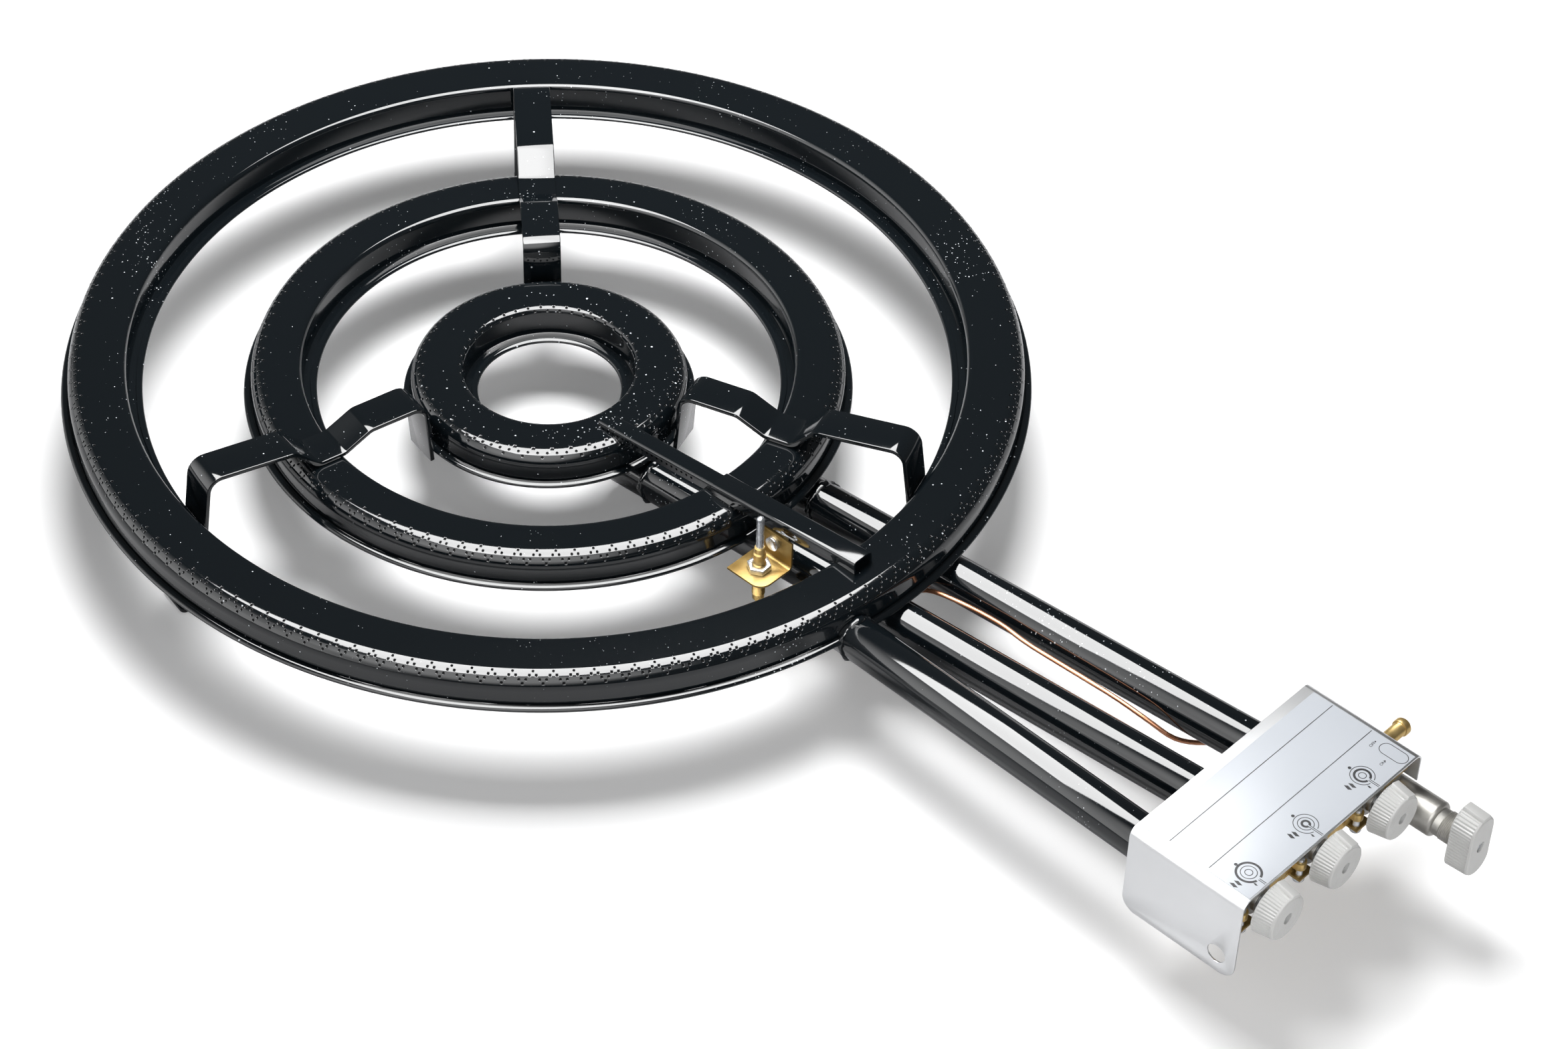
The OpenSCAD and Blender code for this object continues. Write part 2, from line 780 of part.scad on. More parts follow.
module thermocouple_bracket() {
  path = [[-bracket_reach, -bracket_drop + bracket_t * half],
    [lug_x - bracket_t * half, -bracket_drop + bracket_t * half],
    [lug_x - bracket_t * half, bracket_top]];
  color(zinc_y) at_rings() difference() {
    translate([0, -sensor_y + bracket_w * half, 0]) rotate([right_turn, 0, 0])
      linear_extrude(bracket_w) polygon(sheet(path, bracket_t + bracket_t, bracket_t));
    on_screw(lug_x - bracket_t - over, lug_screw_r + fit_slack, bracket_t + over + over, $fn);
    translate([-sensor_x, -sensor_y, -bracket_drop - over])
      cylinder(r = sleeve_r + fit_slack, h = bracket_t + over + over);
  }
}

module bracket_screw() {
  shank_l = bracket_t + lug_t + nut_h + over;
  color(steel) at_rings() {
    on_screw(lug_x - bracket_t - lug_head_h, lug_head_r, lug_head_h, $fn);
    on_screw(lug_x - bracket_t, lug_screw_r, shank_l, $fn);
    difference() {
      on_screw(lug_x + lug_t, lug_head_r, nut_h, hex_fn);
      on_screw(lug_x + lug_t - over, lug_screw_r + fit_slack, nut_h + over + over, $fn);
    }
  }
}

module on_sensor(low, r, h) {
  translate([-sensor_x, -sensor_y, low]) cylinder(r = r, h = h);
}

module thermocouple_sleeve() {
  color(brass_c) at_rings() difference() {
    on_sensor(-sensor_low, sleeve_r, sensor_low + sleeve_top);
    on_sensor(-sensor_low - over, tip_r + fit_slack, sensor_low + sleeve_top + over + over);
  }
}

module thermocouple_tip() {
  color(steel) at_rings() {
    on_sensor(-sensor_low, tip_r, sensor_low + sensor_top - tip_r);
    translate([-sensor_x, -sensor_y, sensor_top - tip_r]) sphere(r = tip_r);
  }
}

module sensor_nut(low) {
  difference() {
    translate([-sensor_x, -sensor_y, low])
      cylinder(r = nut_af * half * hex_share, h = nut_h, $fn = hex_fn);
    on_sensor(low - over, sleeve_r + fit_slack, nut_h + over + over);
  }
}

module thermocouple_nuts() {
  color(brass_c) at_rings() {
    sensor_nut(-bracket_drop + bracket_t);
    sensor_nut(-bracket_drop - nut_h);
  }
}

// copper lead: under the inner tube, between the tubes, under the middle tube
lead_start = [-sensor_x, -sensor_y, -sensor_low];
lead_end = [valve_x, -valve_rear + union_l - lead_r, valve_z];
lead_route = [lead_start, [-33, -213, -40], [-24, -222, -46], [-6, -240, -45],
  [8, -262, -37], [19, -279, -23], [25, -293, -11], [29, -316, -8], [30, -346, -5],
  [28, -373, -4], [28, -430, -1], [29, -458, -3], [36, -474, -12], [50, -485, -18],
  [64, -495, -17], [75, -507, -10], [80, -522, -1], lead_end];
lead_steps = 4;
lead_sides = 8;

function knot(i) = lead_route[max(0, min(len(lead_route) - 1, i))];

// a smooth curve through the route's points
function glide(a, b, c, d, t) =
  ((b + b) + (c - a) * t + (a + a - 5 * b + 4 * c - d) * t * t
    + (3 * b - a - 3 * c + d) * t * t * t) * half;

lead_line = concat(
  [for (i = [0:len(lead_route) - 2]) for (k = [0:lead_steps - 1])
    glide(knot(i - 1), knot(i), knot(i + 1), knot(i + 2), k / lead_steps)],
  [lead_end]);

function heading(i) =
  unit(lead_line[min(i + 1, len(lead_line) - 1)] - lead_line[max(i - 1, 0)]);

function across(h) = unit(cross(h, abs(h[2]) > half ? [1, 0, 0] : [0, 0, 1]));

// the side direction is carried along the lead without twist
function carried(i) = i == 0 ? across(heading(0)) :
  let(s = carried(i - 1), h = heading(i)) unit(s - h * (s * h));

module thermocouple_lead() {
  n = len(lead_line);
  points = [for (i = [0:n - 1]) let(h = heading(i), s = carried(i), u = cross(h, s))
    for (k = [0:lead_sides - 1]) let(a = full_turn * k / lead_sides)
      lead_line[i] + lead_r * (s * cos(a) + u * sin(a))];
  walls = [for (i = [0:n - 2]) for (k = [0:lead_sides - 1])
    let(a = i * lead_sides + k, b = i * lead_sides + (k + 1) % lead_sides)
      each [[a, a + lead_sides, b], [b, a + lead_sides, b + lead_sides]]];
  low_cap = [for (k = [0:lead_sides - 1]) k];
  high_cap = [for (k = [1:lead_sides]) n * lead_sides - k];
  color(copper_c) at_rings()
    polyhedron(points = points, faces = concat([low_cap], walls, [high_cap]));
}

// tap box: bent cover with its plate, tied to the tubes
cover_rear = cover_front - cover_d;
cover_low = cover_top - left_side_h;

module control_cover() {
  x0 = -cover_left + cover_t * half;
  x1 = cover_right - cover_t * half;
  z1 = cover_top - cover_t * half;
  path = [[x0, cover_low], [x0, z1], [x1, z1], [x1, cover_top - right_side_h]];
  color(alu) at_rings() difference() {
    forward(0, cover_rear, 0) linear_extrude(cover_d)
      polygon(sheet(path, cover_bend - cover_t * half, cover_t));
    translate([-cover_left - over, -cover_front + side_hole_in, cover_low + side_hole_in])
      rotate([0, right_turn, 0]) cylinder(r = side_hole_r, h = cover_t + over + over);
    corner_cut(-cover_front, 1);
    corner_cut(-cover_rear, -1);
  }
}

// rounds a lower corner of the left side
module corner_cut(y, way) {
  translate([-cover_left - over, y, cover_low]) difference() {
    translate([0, way > 0 ? -over : -cover_corner, -over])
      cube([cover_t + over + over, cover_corner + over, cover_corner + over]);
    translate([-over, way * cover_corner, cover_corner]) rotate([0, right_turn, 0])
      cylinder(r = cover_corner, h = cover_t + over * 4);
  }
}

module control_label() {
  w = cover_left + cover_right - cover_bend - cover_bend;
  color(alu) at_rings()
    translate([-cover_left + cover_bend, -cover_front + label_edge, cover_top])
      cube([w, cover_d - label_band - label_edge, label_t]);
}

module tie_plate() {
  y = -tube_reach + tie_back;
  x0 = -cover_left + cover_t + weld_gap;
  x1 = cover_right - cover_t - weld_gap;
  color(enamel) at_rings() difference() {
    translate([x0, y, -tie_low]) cube([x1 - x0, tie_t, tie_low + tie_top]);
    translate([valve_x - coupling_af, y - over, -tie_low - over])
      cube([coupling_af + coupling_af, tie_t + over + over, tie_low + cover_top - right_side_h]);
    for (q = tube_ends)
      rod(tube_mouth(q[0]), q[1], tube_r + weld_gap);
  }
}

function tube_mouth(x) = [x, -tube_reach, tube_mouth_z];

tube_ends = [[-tap_pitch, outer_end], [0, inner_end], [tap_pitch, middle_end]];

// manifold bar with lugs for the clamp bolts
bar_low = tap_z - bar_h * half;
bar_right = cover_right - cover_t - weld_gap;
ear_y = -bar_front - ear_out;
ear_low = tap_z - ear_h * half;
taps = [-tap_pitch, 0, tap_pitch];

module manifold() {
  color(brass_c) at_rings() difference() {
    union() {
      translate([-bar_left, -bar_front, bar_low]) cube([bar_left + bar_right, bar_d, bar_h]);
      for (x = taps)
        translate([x - ear_x, ear_y, ear_low]) {
          cylinder(r = ear_r, h = ear_h);
          translate([-ear_r, 0, 0]) cube([ear_r + ear_r, ear_out + weld_gap, ear_h]);
        }
    }
    for (x = taps) {
      forward(x, bar_front - bar_d - over, tap_z)
        cylinder(r = shank_r + fit_slack, h = bar_d + over + over);
      translate([x - ear_x, ear_y, ear_low - over])
        cylinder(r = bolt_r + fit_slack, h = ear_h + over + over);
    }
    translate([-bar_left - over, -bar_front + bar_d * half, tap_z]) rotate([0, right_turn, 0])
      cylinder(r = bar_bore_r, h = bar_left + valve_x + over);
    translate([bar_right - bar_notch_l, -bar_front - over, bar_low - over])
      cube([bar_notch_l + over, bar_d + over + over, bar_notch + over]);
    translate([valve_x, -bar_front + bar_d * half, bar_low])
      cylinder(r = bar_bore_r, h = bar_h * half);
  }
}

module manifold_plug() {
  head = cover_left - cover_t - weld_gap - bar_left;
  color(brass_c) at_rings()
    translate([-bar_left - head, -bar_front + bar_d * half, tap_z]) rotate([0, right_turn, 0]) {
      cylinder(r = bar_bore_r + bar_bore_r, h = head, $fn = hex_fn);
      cylinder(r = bar_bore_r - weld_gap, h = head + head * half);
    }
}

module clamp_plates() {
  color(zinc_y) at_rings() for (x = taps) difference() {
    translate([x - ear_x - clamp_in, ear_y - ear_r, bar_low - clamp_t])
      cube([clamp_w, bar_d + ear_r, clamp_t]);
    translate([x - ear_x, ear_y, bar_low - clamp_t - over])
      cylinder(r = bolt_r + fit_slack, h = clamp_t + over + over);
  }
}

module clamp_bolts() {
  low = bar_low - clamp_t;
  color(steel) at_rings() for (x = taps) translate([x - ear_x, ear_y, 0]) {
    translate([0, 0, low]) cylinder(r = bolt_r, h = ear_low + ear_h + bolt_head_h - low);
    translate([0, 0, low - bolt_head_h]) cylinder(r = bolt_head_r, h = bolt_head_h);
  }
}

// tap: barrel behind the manifold, shank through it, outlet down to the injector
barrel_back = bar_front - bar_d - barrel_l;

module tap_body(x) {
  jet_back = barrel_back - jet_boss_l;
  color(brass_c) at_rings() difference() {
    union() {
      forward(x, barrel_back, tap_z) cylinder(r = barrel_r, h = barrel_l);
      forward(x, barrel_back + barrel_l, tap_z) cylinder(r = shank_r, h = bar_d);
      translate([x - outlet_w * half, -barrel_back - outlet_w, tube_mouth_z - outlet_w * half])
        cube([outlet_w, outlet_w, tap_z - tube_mouth_z + outlet_w * half]);
      forward(x, jet_back, tube_mouth_z) cylinder(r = jet_boss_r, h = jet_boss_l + over);
    }
    backward(x, bar_front + over, tap_z)
      cylinder(r = spindle_r + run_slack, h = spindle_in + over + push + over);
    forward(x, jet_back - over, tube_mouth_z)
      cylinder(r = jet_thread_r + fit_slack, h = jet_thread_l + over + over);
  }
}

module left_tap_body() {
  tap_body(-tap_pitch);
}

module middle_tap_body() {
  tap_body(0);
}

module right_tap_body() {
  tap_body(tap_pitch);
}

module tap_fronts() {
  color(steel) at_rings() for (x = taps) difference() {
    union() {
      forward(x, bar_front, tap_z) cylinder(r = front_r, h = front_t);
      forward(x, bar_front, tap_z) cylinder(r = front_collar_r, h = front_t + front_collar_l);
    }
    forward(x, bar_front - over, tap_z)
      cylinder(r = spindle_r + free_gap, h = front_t + front_collar_l + over + over);
  }
}

module injectors() {
  back = barrel_back - jet_boss_l;
  color(brass_c) at_rings() for (x = taps) difference() {
    union() {
      forward(x, back - jet_hex_l, tube_mouth_z)
        cylinder(r = jet_af * half * hex_share, h = jet_hex_l, $fn = hex_fn);
      forward(x, back - jet_hex_l - jet_l, tube_mouth_z) cylinder(r = jet_r, h = jet_l + over);
      forward(x, back - over, tube_mouth_z) cylinder(r = jet_thread_r, h = jet_thread_l + over);
    }
    forward(x, back - jet_hex_l - jet_l - over, tube_mouth_z)
      cylinder(r = orifice_r, h = jet_thread_l + jet_hex_l + jet_l + over + over);
  }
}

// the pushed and turned pieces of a tap
hub_back = knob_back + hub_in;
screw_seat = knob_back + knob_d - recess_d;

module thrust_collar(x) {
  color(steel) at_rings() difference() {
    forward(x, hub_back - free_gap - thrust_t, tap_z) cylinder(r = thrust_r, h = thrust_t);
    forward(x, hub_back - free_gap - thrust_t - over, tap_z)
      cylinder(r = spindle_r + run_slack, h = thrust_t + over + over);
  }
}

module left_thrust_collar() {
  thrust_collar(-tap_pitch);
}

module middle_thrust_collar() {
  thrust_collar(0);
}

module right_thrust_collar() {
  thrust_collar(tap_pitch);
}

module tap_spindle(x) {
  front = screw_seat - recess_web;
  back = bar_front - spindle_in;
  color(steel) at_rings() difference() {
    forward(x, back, tap_z) cylinder(r = spindle_r, h = front - back);
    backward(x, front + over, tap_z)
      cylinder(r = knob_screw_r + fit_slack, h = knob_screw_l + over);
  }
}

module left_spindle() {
  tap_spindle(-tap_pitch);
}

module middle_spindle() {
  tap_spindle(0);
}

module right_spindle() {
  tap_spindle(tap_pitch);
}

// half section of a knob: radius, distance from its back
knob_outline = concat(
  [[spindle_r + fit_slack, hub_in], [hub_r, hub_in], [hub_r, knob_d - knob_face],
    [knob_r - knob_wall, knob_d - knob_face], [knob_r - knob_wall, 0], [knob_r, 0]],
  arc([knob_r - knob_round, knob_d - knob_round], knob_round, 0, right_turn, arc_n),
  [[recess_r, knob_d], [recess_r, knob_d - recess_d], [knob_screw_r + fit_slack, knob_d - recess_d],
    [knob_screw_r + fit_slack, knob_d - recess_d - recess_web],
    [spindle_r + fit_slack, knob_d - recess_d - recess_web]]);

module tap_knob(x) {
  color(grey) at_rings() forward(x, knob_back, tap_z) {
    difference() {
      rotate_extrude() polygon(knob_outline);
      for (i = [0:groove_n - 1])
        rotate([0, 0, full_turn * (i + half) / groove_n])
          translate([0, knob_r + groove_r * half, -over])
            cylinder(r = groove_r, h = knob_d - knob_round + over, $fn = 16);
    }
    translate([-ridge_w * half, knob_r - knob_wall * half, 0])
      cube([ridge_w, knob_wall * half + ridge_h, knob_d - knob_round]);
  }
}

module left_knob() {
  tap_knob(-tap_pitch);
}

module middle_knob() {
  tap_knob(0);
}

module right_knob() {
  tap_knob(tap_pitch);
}

module knob_fixing(x, seat, z) {
  color(steel) at_rings() {
    forward(x, seat, z) cylinder(r = knob_head_r, h = knob_head_h);
    backward(x, seat, z) cylinder(r = knob_screw_r, h = knob_screw_l);
  }
}

module left_knob_screw() {
  knob_fixing(-tap_pitch, screw_seat, tap_z);
}

module middle_knob_screw() {
  knob_fixing(0, screw_seat, tap_z);
}

module right_knob_screw() {
  knob_fixing(tap_pitch, screw_seat, tap_z);
}

// safety valve: body with its collar, fed from the barb, held open by the thermocouple
valve_neck_end = valve_front + neck_l;
oblong_back = valve_neck_end + oblong_gap;
valve_seat = oblong_back + oblong_d - recess_d;

valve_outline = concat([[0, 0]],
  arc([valve_r - valve_round, valve_round], valve_round, -right_turn, 0, arc_n),
  arc([valve_r - valve_round, valve_front - valve_rear - valve_round], valve_round,
    0, right_turn, arc_n),
  [[neck_r, valve_front - valve_rear], [neck_r, valve_neck_end - valve_rear],
    [0, valve_neck_end - valve_rear]]);

module safety_valve_body() {
  color(steel) at_rings() difference() {
    forward(valve_x, valve_rear, valve_z) rotate_extrude() polygon(valve_outline);
    backward(valve_x, valve_neck_end + over, valve_z)
      cylinder(r = spindle_r + run_slack, h = over + valve_spindle_in + valve_push + over);
    translate([valve_x + valve_r - barb_thread_l, -barb_y, valve_z]) rotate([0, right_turn, 0])
      cylinder(r = barb_thread_r + fit_slack, h = barb_thread_l + over);
    forward(valve_x, valve_rear - over, valve_z)
      cylinder(r = lead_r + lead_r + fit_slack, h = union_l + over);
  }
}

module valve_coupling() {
  color(steel) at_rings() difference() {
    translate([valve_x, -bar_front + bar_d * half, valve_z]) rotate([0, 0, right_turn])
      cylinder(r = coupling_af * half * hex_share, h = bar_low + bar_notch - weld_gap - valve_z, $fn = hex_fn);
    forward(valve_x, valve_rear, valve_z)
      cylinder(r = valve_r + fit_slack, h = valve_front - valve_rear);
  }
}

module union_nut() {
  color(brass_c) at_rings() {
    forward(valve_x, valve_rear - union_l + lead_r, valve_z)
      cylinder(r = union_af * half * hex_share, h = union_l - lead_r, $fn = hex_fn);
    forward(valve_x, valve_rear - over, valve_z) cylinder(r = lead_r + lead_r, h = union_l);
  }
}

module along_barb(x, r, l, n) {
  translate([x, -barb_y, valve_z]) rotate([0, right_turn, 0]) cylinder(r = r, h = l, $fn = n);
}

module hose_barb() {
  root = valve_x + valve_r;
  color(brass_c) at_rings() difference() {
    union() {
      along_barb(root - barb_thread_l + over, barb_thread_r, barb_thread_l, $fn);
      along_barb(root, barb_af * half * hex_share, barb_hex_l, hex_fn);
      along_barb(root + over, barb_r, barb_tip - root - over, $fn);
      along_barb(barb_tip - barb_ring_l - over, barb_ring_r, barb_ring_l, $fn);
    }
    along_barb(root - barb_thread_l, barb_bore_r, barb_tip - root + barb_thread_l + over, $fn);
  }
}

module valve_thrust_collar() {
  back = oblong_back + hub_in - free_gap - thrust_t;
  color(steel) at_rings() difference() {
    forward(valve_x, back + valve_push, valve_z) cylinder(r = thrust_r, h = thrust_t);
    forward(valve_x, back + valve_push - over, valve_z)
      cylinder(r = spindle_r + run_slack, h = thrust_t + over + over);
  }
}

module valve_spindle() {
  front = valve_seat - recess_web;
  back = valve_neck_end - valve_spindle_in;
  color(brass_c) at_rings() difference() {
    forward(valve_x, back, valve_z) cylinder(r = spindle_r, h = front - back);
    backward(valve_x, front + over, valve_z)
      cylinder(r = knob_screw_r + fit_slack, h = knob_screw_l + over);
  }
}

// an oblong with round ends, w wide and h tall
module oblong(w, h, l) {
  linear_extrude(l) union() {
    square([w, h - w], center = true);
    translate([0, (h - w) * half]) circle(r = w * half);
    translate([0, -(h - w) * half]) circle(r = w * half);
  }
}

module valve_knob() {
  hub_start = hub_in + valve_push;
  color(grey) at_rings() forward(valve_x, oblong_back, valve_z) difference() {
    union() {
      difference() {
        oblong(oblong_w, oblong_h, oblong_d);
        translate([0, 0, -over])
          oblong(oblong_w - knob_wall - knob_wall, oblong_h - knob_wall - knob_wall,
            oblong_d - knob_face + over);
      }
      translate([0, 0, hub_start]) cylinder(r = hub_r, h = oblong_d - hub_start);
    }
    translate([0, 0, oblong_d - recess_d]) cylinder(r = recess_r, h = recess_d + over);
    translate([0, 0, hub_start - over])
      cylinder(r = spindle_r + fit_slack, h = oblong_d - recess_d - recess_web - hub_start + over);
    cylinder(r = knob_screw_r + fit_slack, h = oblong_d);
    for (side = [-1, 1]) for (i = [0:oblong_groove_n - 1])
      translate([side * (oblong_w + groove_r) * half,
          (i - (oblong_groove_n - 1) * half) * oblong_groove_pitch, -over])
        cylinder(r = groove_r, h = oblong_d - knob_round + over, $fn = 16);
  }
}

module valve_knob_screw() {
  knob_fixing(valve_x, valve_seat, valve_z);
}

outer_ring_shell();
outer_ring_pan();
middle_ring_shell();
middle_ring_pan();
inner_ring_shell();
inner_ring_pan();
outer_feed_tube();
middle_feed_tube();
inner_feed_tube();
rear_pan_support();
left_pan_support();
right_pan_support();
carry_over_channel();
carry_over_cover();
thermocouple_lug();
thermocouple_bracket();
bracket_screw();
thermocouple_sleeve();
thermocouple_tip();
thermocouple_nuts();
thermocouple_lead();
tie_plate();
control_cover();
control_label();
manifold();
manifold_plug();
clamp_plates();
clamp_bolts();
left_tap_body();
middle_tap_body();
right_tap_body();
tap_fronts();
injectors();
left_thrust_collar();
middle_thrust_collar();
right_thrust_collar();
left_spindle();
middle_spindle();
right_spindle();
left_knob();
middle_knob();
right_knob();
left_knob_screw();
middle_knob_screw();
right_knob_screw();
safety_valve_body();
valve_coupling();
union_nut();
hose_barb();
valve_thrust_collar();
valve_spindle();
valve_knob();
valve_knob_screw();
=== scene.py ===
# Three-ring gas burner: enamelled rings on bent strip supports, fed by three tubes from a tap box.
import json
import math

import bpy
from mathutils import Matrix, Vector, noise


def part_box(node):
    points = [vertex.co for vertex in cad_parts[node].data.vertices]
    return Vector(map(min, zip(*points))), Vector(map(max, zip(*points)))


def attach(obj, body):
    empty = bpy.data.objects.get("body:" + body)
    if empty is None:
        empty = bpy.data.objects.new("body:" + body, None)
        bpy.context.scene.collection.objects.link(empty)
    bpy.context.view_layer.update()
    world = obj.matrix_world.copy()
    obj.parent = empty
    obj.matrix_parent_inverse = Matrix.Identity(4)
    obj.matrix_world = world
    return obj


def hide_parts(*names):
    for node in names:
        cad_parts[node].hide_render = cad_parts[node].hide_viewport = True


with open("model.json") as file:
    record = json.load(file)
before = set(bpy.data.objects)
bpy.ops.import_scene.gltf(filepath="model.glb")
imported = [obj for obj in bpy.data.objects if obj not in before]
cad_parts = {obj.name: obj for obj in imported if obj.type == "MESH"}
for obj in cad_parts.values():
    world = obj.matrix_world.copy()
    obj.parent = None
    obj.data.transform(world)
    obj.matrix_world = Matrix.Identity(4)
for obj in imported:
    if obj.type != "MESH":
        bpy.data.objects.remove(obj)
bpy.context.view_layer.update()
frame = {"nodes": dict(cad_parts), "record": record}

# Studio: a pale floor, a broad soft lamp overhead, a lower one that only gloss shows, a weak one in
# front, and a camera from the left front. The room is dim, with two pale patches at the left.
MM = 0.001
scene = bpy.context.scene
sheet_t = 1.5 * MM
shell_low, shell_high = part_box("outer_ring_shell")
ring_axis = Vector((0, (shell_low[1] + shell_high[1]) / 2, shell_low[2] + sheet_t / 2))


def from_rings(x, y, z):
    """A place given in millimetres from the middle of the outer ring's lip."""
    return ring_axis + Vector((x, y, z)) * MM


camera_place = from_rings(-1299.3, -1367.3, 1641.3)
camera_azimuth = math.radians(-48.085)
camera_elevation = math.radians(43.272)
camera_roll = math.radians(2.128)
camera_data = bpy.data.cameras.new("burner_camera")
camera_data.lens = 92.15
camera_data.sensor_width = 36.0
camera = bpy.data.objects.new("burner_camera", camera_data)
camera.matrix_world = (
    Matrix.Translation(camera_place)
    @ Matrix.Rotation(camera_azimuth, 4, "Z")
    @ Matrix.Rotation(math.pi / 2 - camera_elevation, 4, "X")
    @ Matrix.Rotation(camera_roll, 4, "Z")
)
scene.collection.objects.link(camera)
scene.camera = camera
scene.view_settings.view_transform = "Standard"


def new_material(name):
    """A node material with its tree and shader, ready for colours and textures."""
    material = bpy.data.materials.new(name)
    material.use_nodes = True
    return material, material.node_tree, material.node_tree.nodes["Principled BSDF"]


def add_node(tree, kind, **values):
    """A new node whose named settings and inputs are given."""
    node = tree.nodes.new("ShaderNode" + kind)
    for key, value in values.items():
        if hasattr(node, key):
            setattr(node, key, value)
        else:
            node.inputs[key.replace("_", " ")].default_value = value
    return node


def blend_colours(tree, factor, first, second):
    """A colour that goes from the first to the second tone as the factor rises."""
    mix = add_node(tree, "Mix", data_type="RGBA")
    tree.links.new(factor, mix.inputs[0])
    for socket, tone in ((mix.inputs[6], first), (mix.inputs[7], second)):
        if isinstance(tone, tuple):
            socket.default_value = (*tone, 1)
        else:
            tree.links.new(tone, socket)
    return mix.outputs[2]


def spread(tree, value, taken, given=(0.0, 1.0), soft_ends=False):
    """A value carried over from one range to another."""
    node = add_node(tree, "MapRange")
    if soft_ends:
        node.interpolation_type = "SMOOTHSTEP"
    for socket, number in zip(("From Min", "From Max", "To Min", "To Max"), (*taken, *given)):
        node.inputs[socket].default_value = number
    tree.links.new(value, node.inputs["Value"])
    return node.outputs["Result"]


def combine(tree, operation, first, second, clamp=False):
    """Two values joined by one step of arithmetic."""
    node = add_node(tree, "Math", operation=operation, use_clamp=clamp)
    for socket, value in zip(node.inputs, (first, second)):
        if isinstance(value, float):
            socket.default_value = value
        else:
            tree.links.new(value, socket)
    return node.outputs["Value"]


floor_size = 14.0
floor_lit = (0.70, 0.70, 0.71)
floor_seen = (0.98, 0.98, 0.985)
floor_reaches = (0.75, 1.7)
floor_glows = (0.16, 1.0)
bpy.ops.object.select_all(action="DESELECT")
bpy.ops.mesh.primitive_grid_add(x_subdivisions=4, y_subdivisions=4, size=floor_size, location=(0, 0, 0))
floor = bpy.context.object
floor.name = "studio_floor"
floor_paint, tree, shader = new_material("floor_paint")
shader.inputs["Roughness"].default_value = 1.0
shader.inputs["Specular IOR Level"].default_value = 0.0
shader.inputs["Emission Color"].default_value = (1, 1, 1, 1)
seen = add_node(tree, "LightPath").outputs["Is Camera Ray"]
floor_reach = add_node(tree, "VectorMath", operation="LENGTH")
tree.links.new(add_node(tree, "TexCoord").outputs["Object"], floor_reach.inputs[0])
floor_glow = spread(tree, floor_reach.outputs["Value"], floor_reaches, floor_glows, soft_ends=True)
tree.links.new(blend_colours(tree, seen, floor_lit, floor_seen), shader.inputs["Base Color"])
tree.links.new(combine(tree, "MULTIPLY", seen, floor_glow), shader.inputs["Emission Strength"])
floor.data.materials.append(floor_paint)

world = bpy.data.worlds.new("studio_room")
scene.world = world
world.use_nodes = True
room = world.node_tree
room_rays = add_node(room, "LightPath")
room_way = add_node(room, "TexCoord").outputs["Generated"]
room_dim = 0.035


def pale_patch(way, edges, strength, matt_share):
    """A pale patch of the room, soft at its edges, of which matt surfaces get only a share."""
    facing = add_node(room, "VectorMath", operation="DOT_PRODUCT")
    facing.inputs[1].default_value = way
    room.links.new(room_way, facing.inputs[0])
    glow = spread(room, facing.outputs["Value"], edges, (room_dim, strength), soft_ends=True)
    share = spread(room, room_rays.outputs["Is Glossy Ray"], (0.0, 1.0), (matt_share, 1.0))
    return combine(room, "MULTIPLY", glow, share)


rear_patch = pale_patch((-0.8, 0.6, 0.0), edges=(0.45, 1.0), strength=2.6, matt_share=0.4)
front_patch = pale_patch((-0.63, -0.36, 0.69), edges=(0.76, 0.97), strength=2.8, matt_share=0.0)
room_glow = combine(room, "ADD", rear_patch, front_patch)
room_tone = blend_colours(room, room_rays.outputs["Is Camera Ray"], room_glow, (1.0, 1.0, 1.0))
room.links.new(room_tone, room.nodes["Background"].inputs["Color"])


def softbox(name, place, width, length, turn, watts):
    """A rectangular lamp that faces straight down."""
    lamp_data = bpy.data.lights.new(name, "AREA")
    lamp_data.shape = "RECTANGLE"
    lamp_data.size = length
    lamp_data.size_y = width
    lamp_data.energy = watts
    lamp = bpy.data.objects.new(name, lamp_data)
    lamp.location = place
    lamp.rotation_euler = (0, 0, turn)
    scene.collection.objects.link(lamp)
    return lamp


view_ground = Vector((math.sin(-camera_azimuth), math.cos(camera_azimuth), 0))
key_beyond = 0.46
key_lamp = softbox("key_softbox", from_rings(0, 0, 1450) + view_ground * key_beyond,
                   width=0.9, length=0.9, turn=camera_azimuth, watts=35.0)
key_lamp.visible_glossy = False
gleam_lamp = softbox("gleam_softbox", from_rings(-55, -79, 600),
                     width=0.61, length=0.76, turn=math.radians(-30.1), watts=21.0)
gleam_lamp.visible_diffuse = False
fill_way = Vector((-0.42, -0.8, 0.43)).normalized()
fill_away = 1.3
fill_lamp = softbox("front_fill", from_rings(0, -500, 0) + fill_way * fill_away,
                    width=1.1, length=1.1, turn=0.0, watts=11.0)
fill_lamp.rotation_euler = fill_way.to_track_quat("Z", "Y").to_euler()
fill_lamp.visible_glossy = False

# Ring crowns: pressed steel channels, open side down, dipped in blue-black vitreous enamel with
# white flecks. Their shoulders are pierced by zig-zag rows of dimpled gas ports.
enamel_black = (0.005, 0.0075, 0.0095)
fleck_white = (0.78, 0.82, 0.86)
enamel, tree, shader = new_material("speckled_enamel")
shader.inputs["Roughness"].default_value = 0.07
shader.inputs["IOR"].default_value = 1.6
place = add_node(tree, "TexCoord").outputs["Object"]


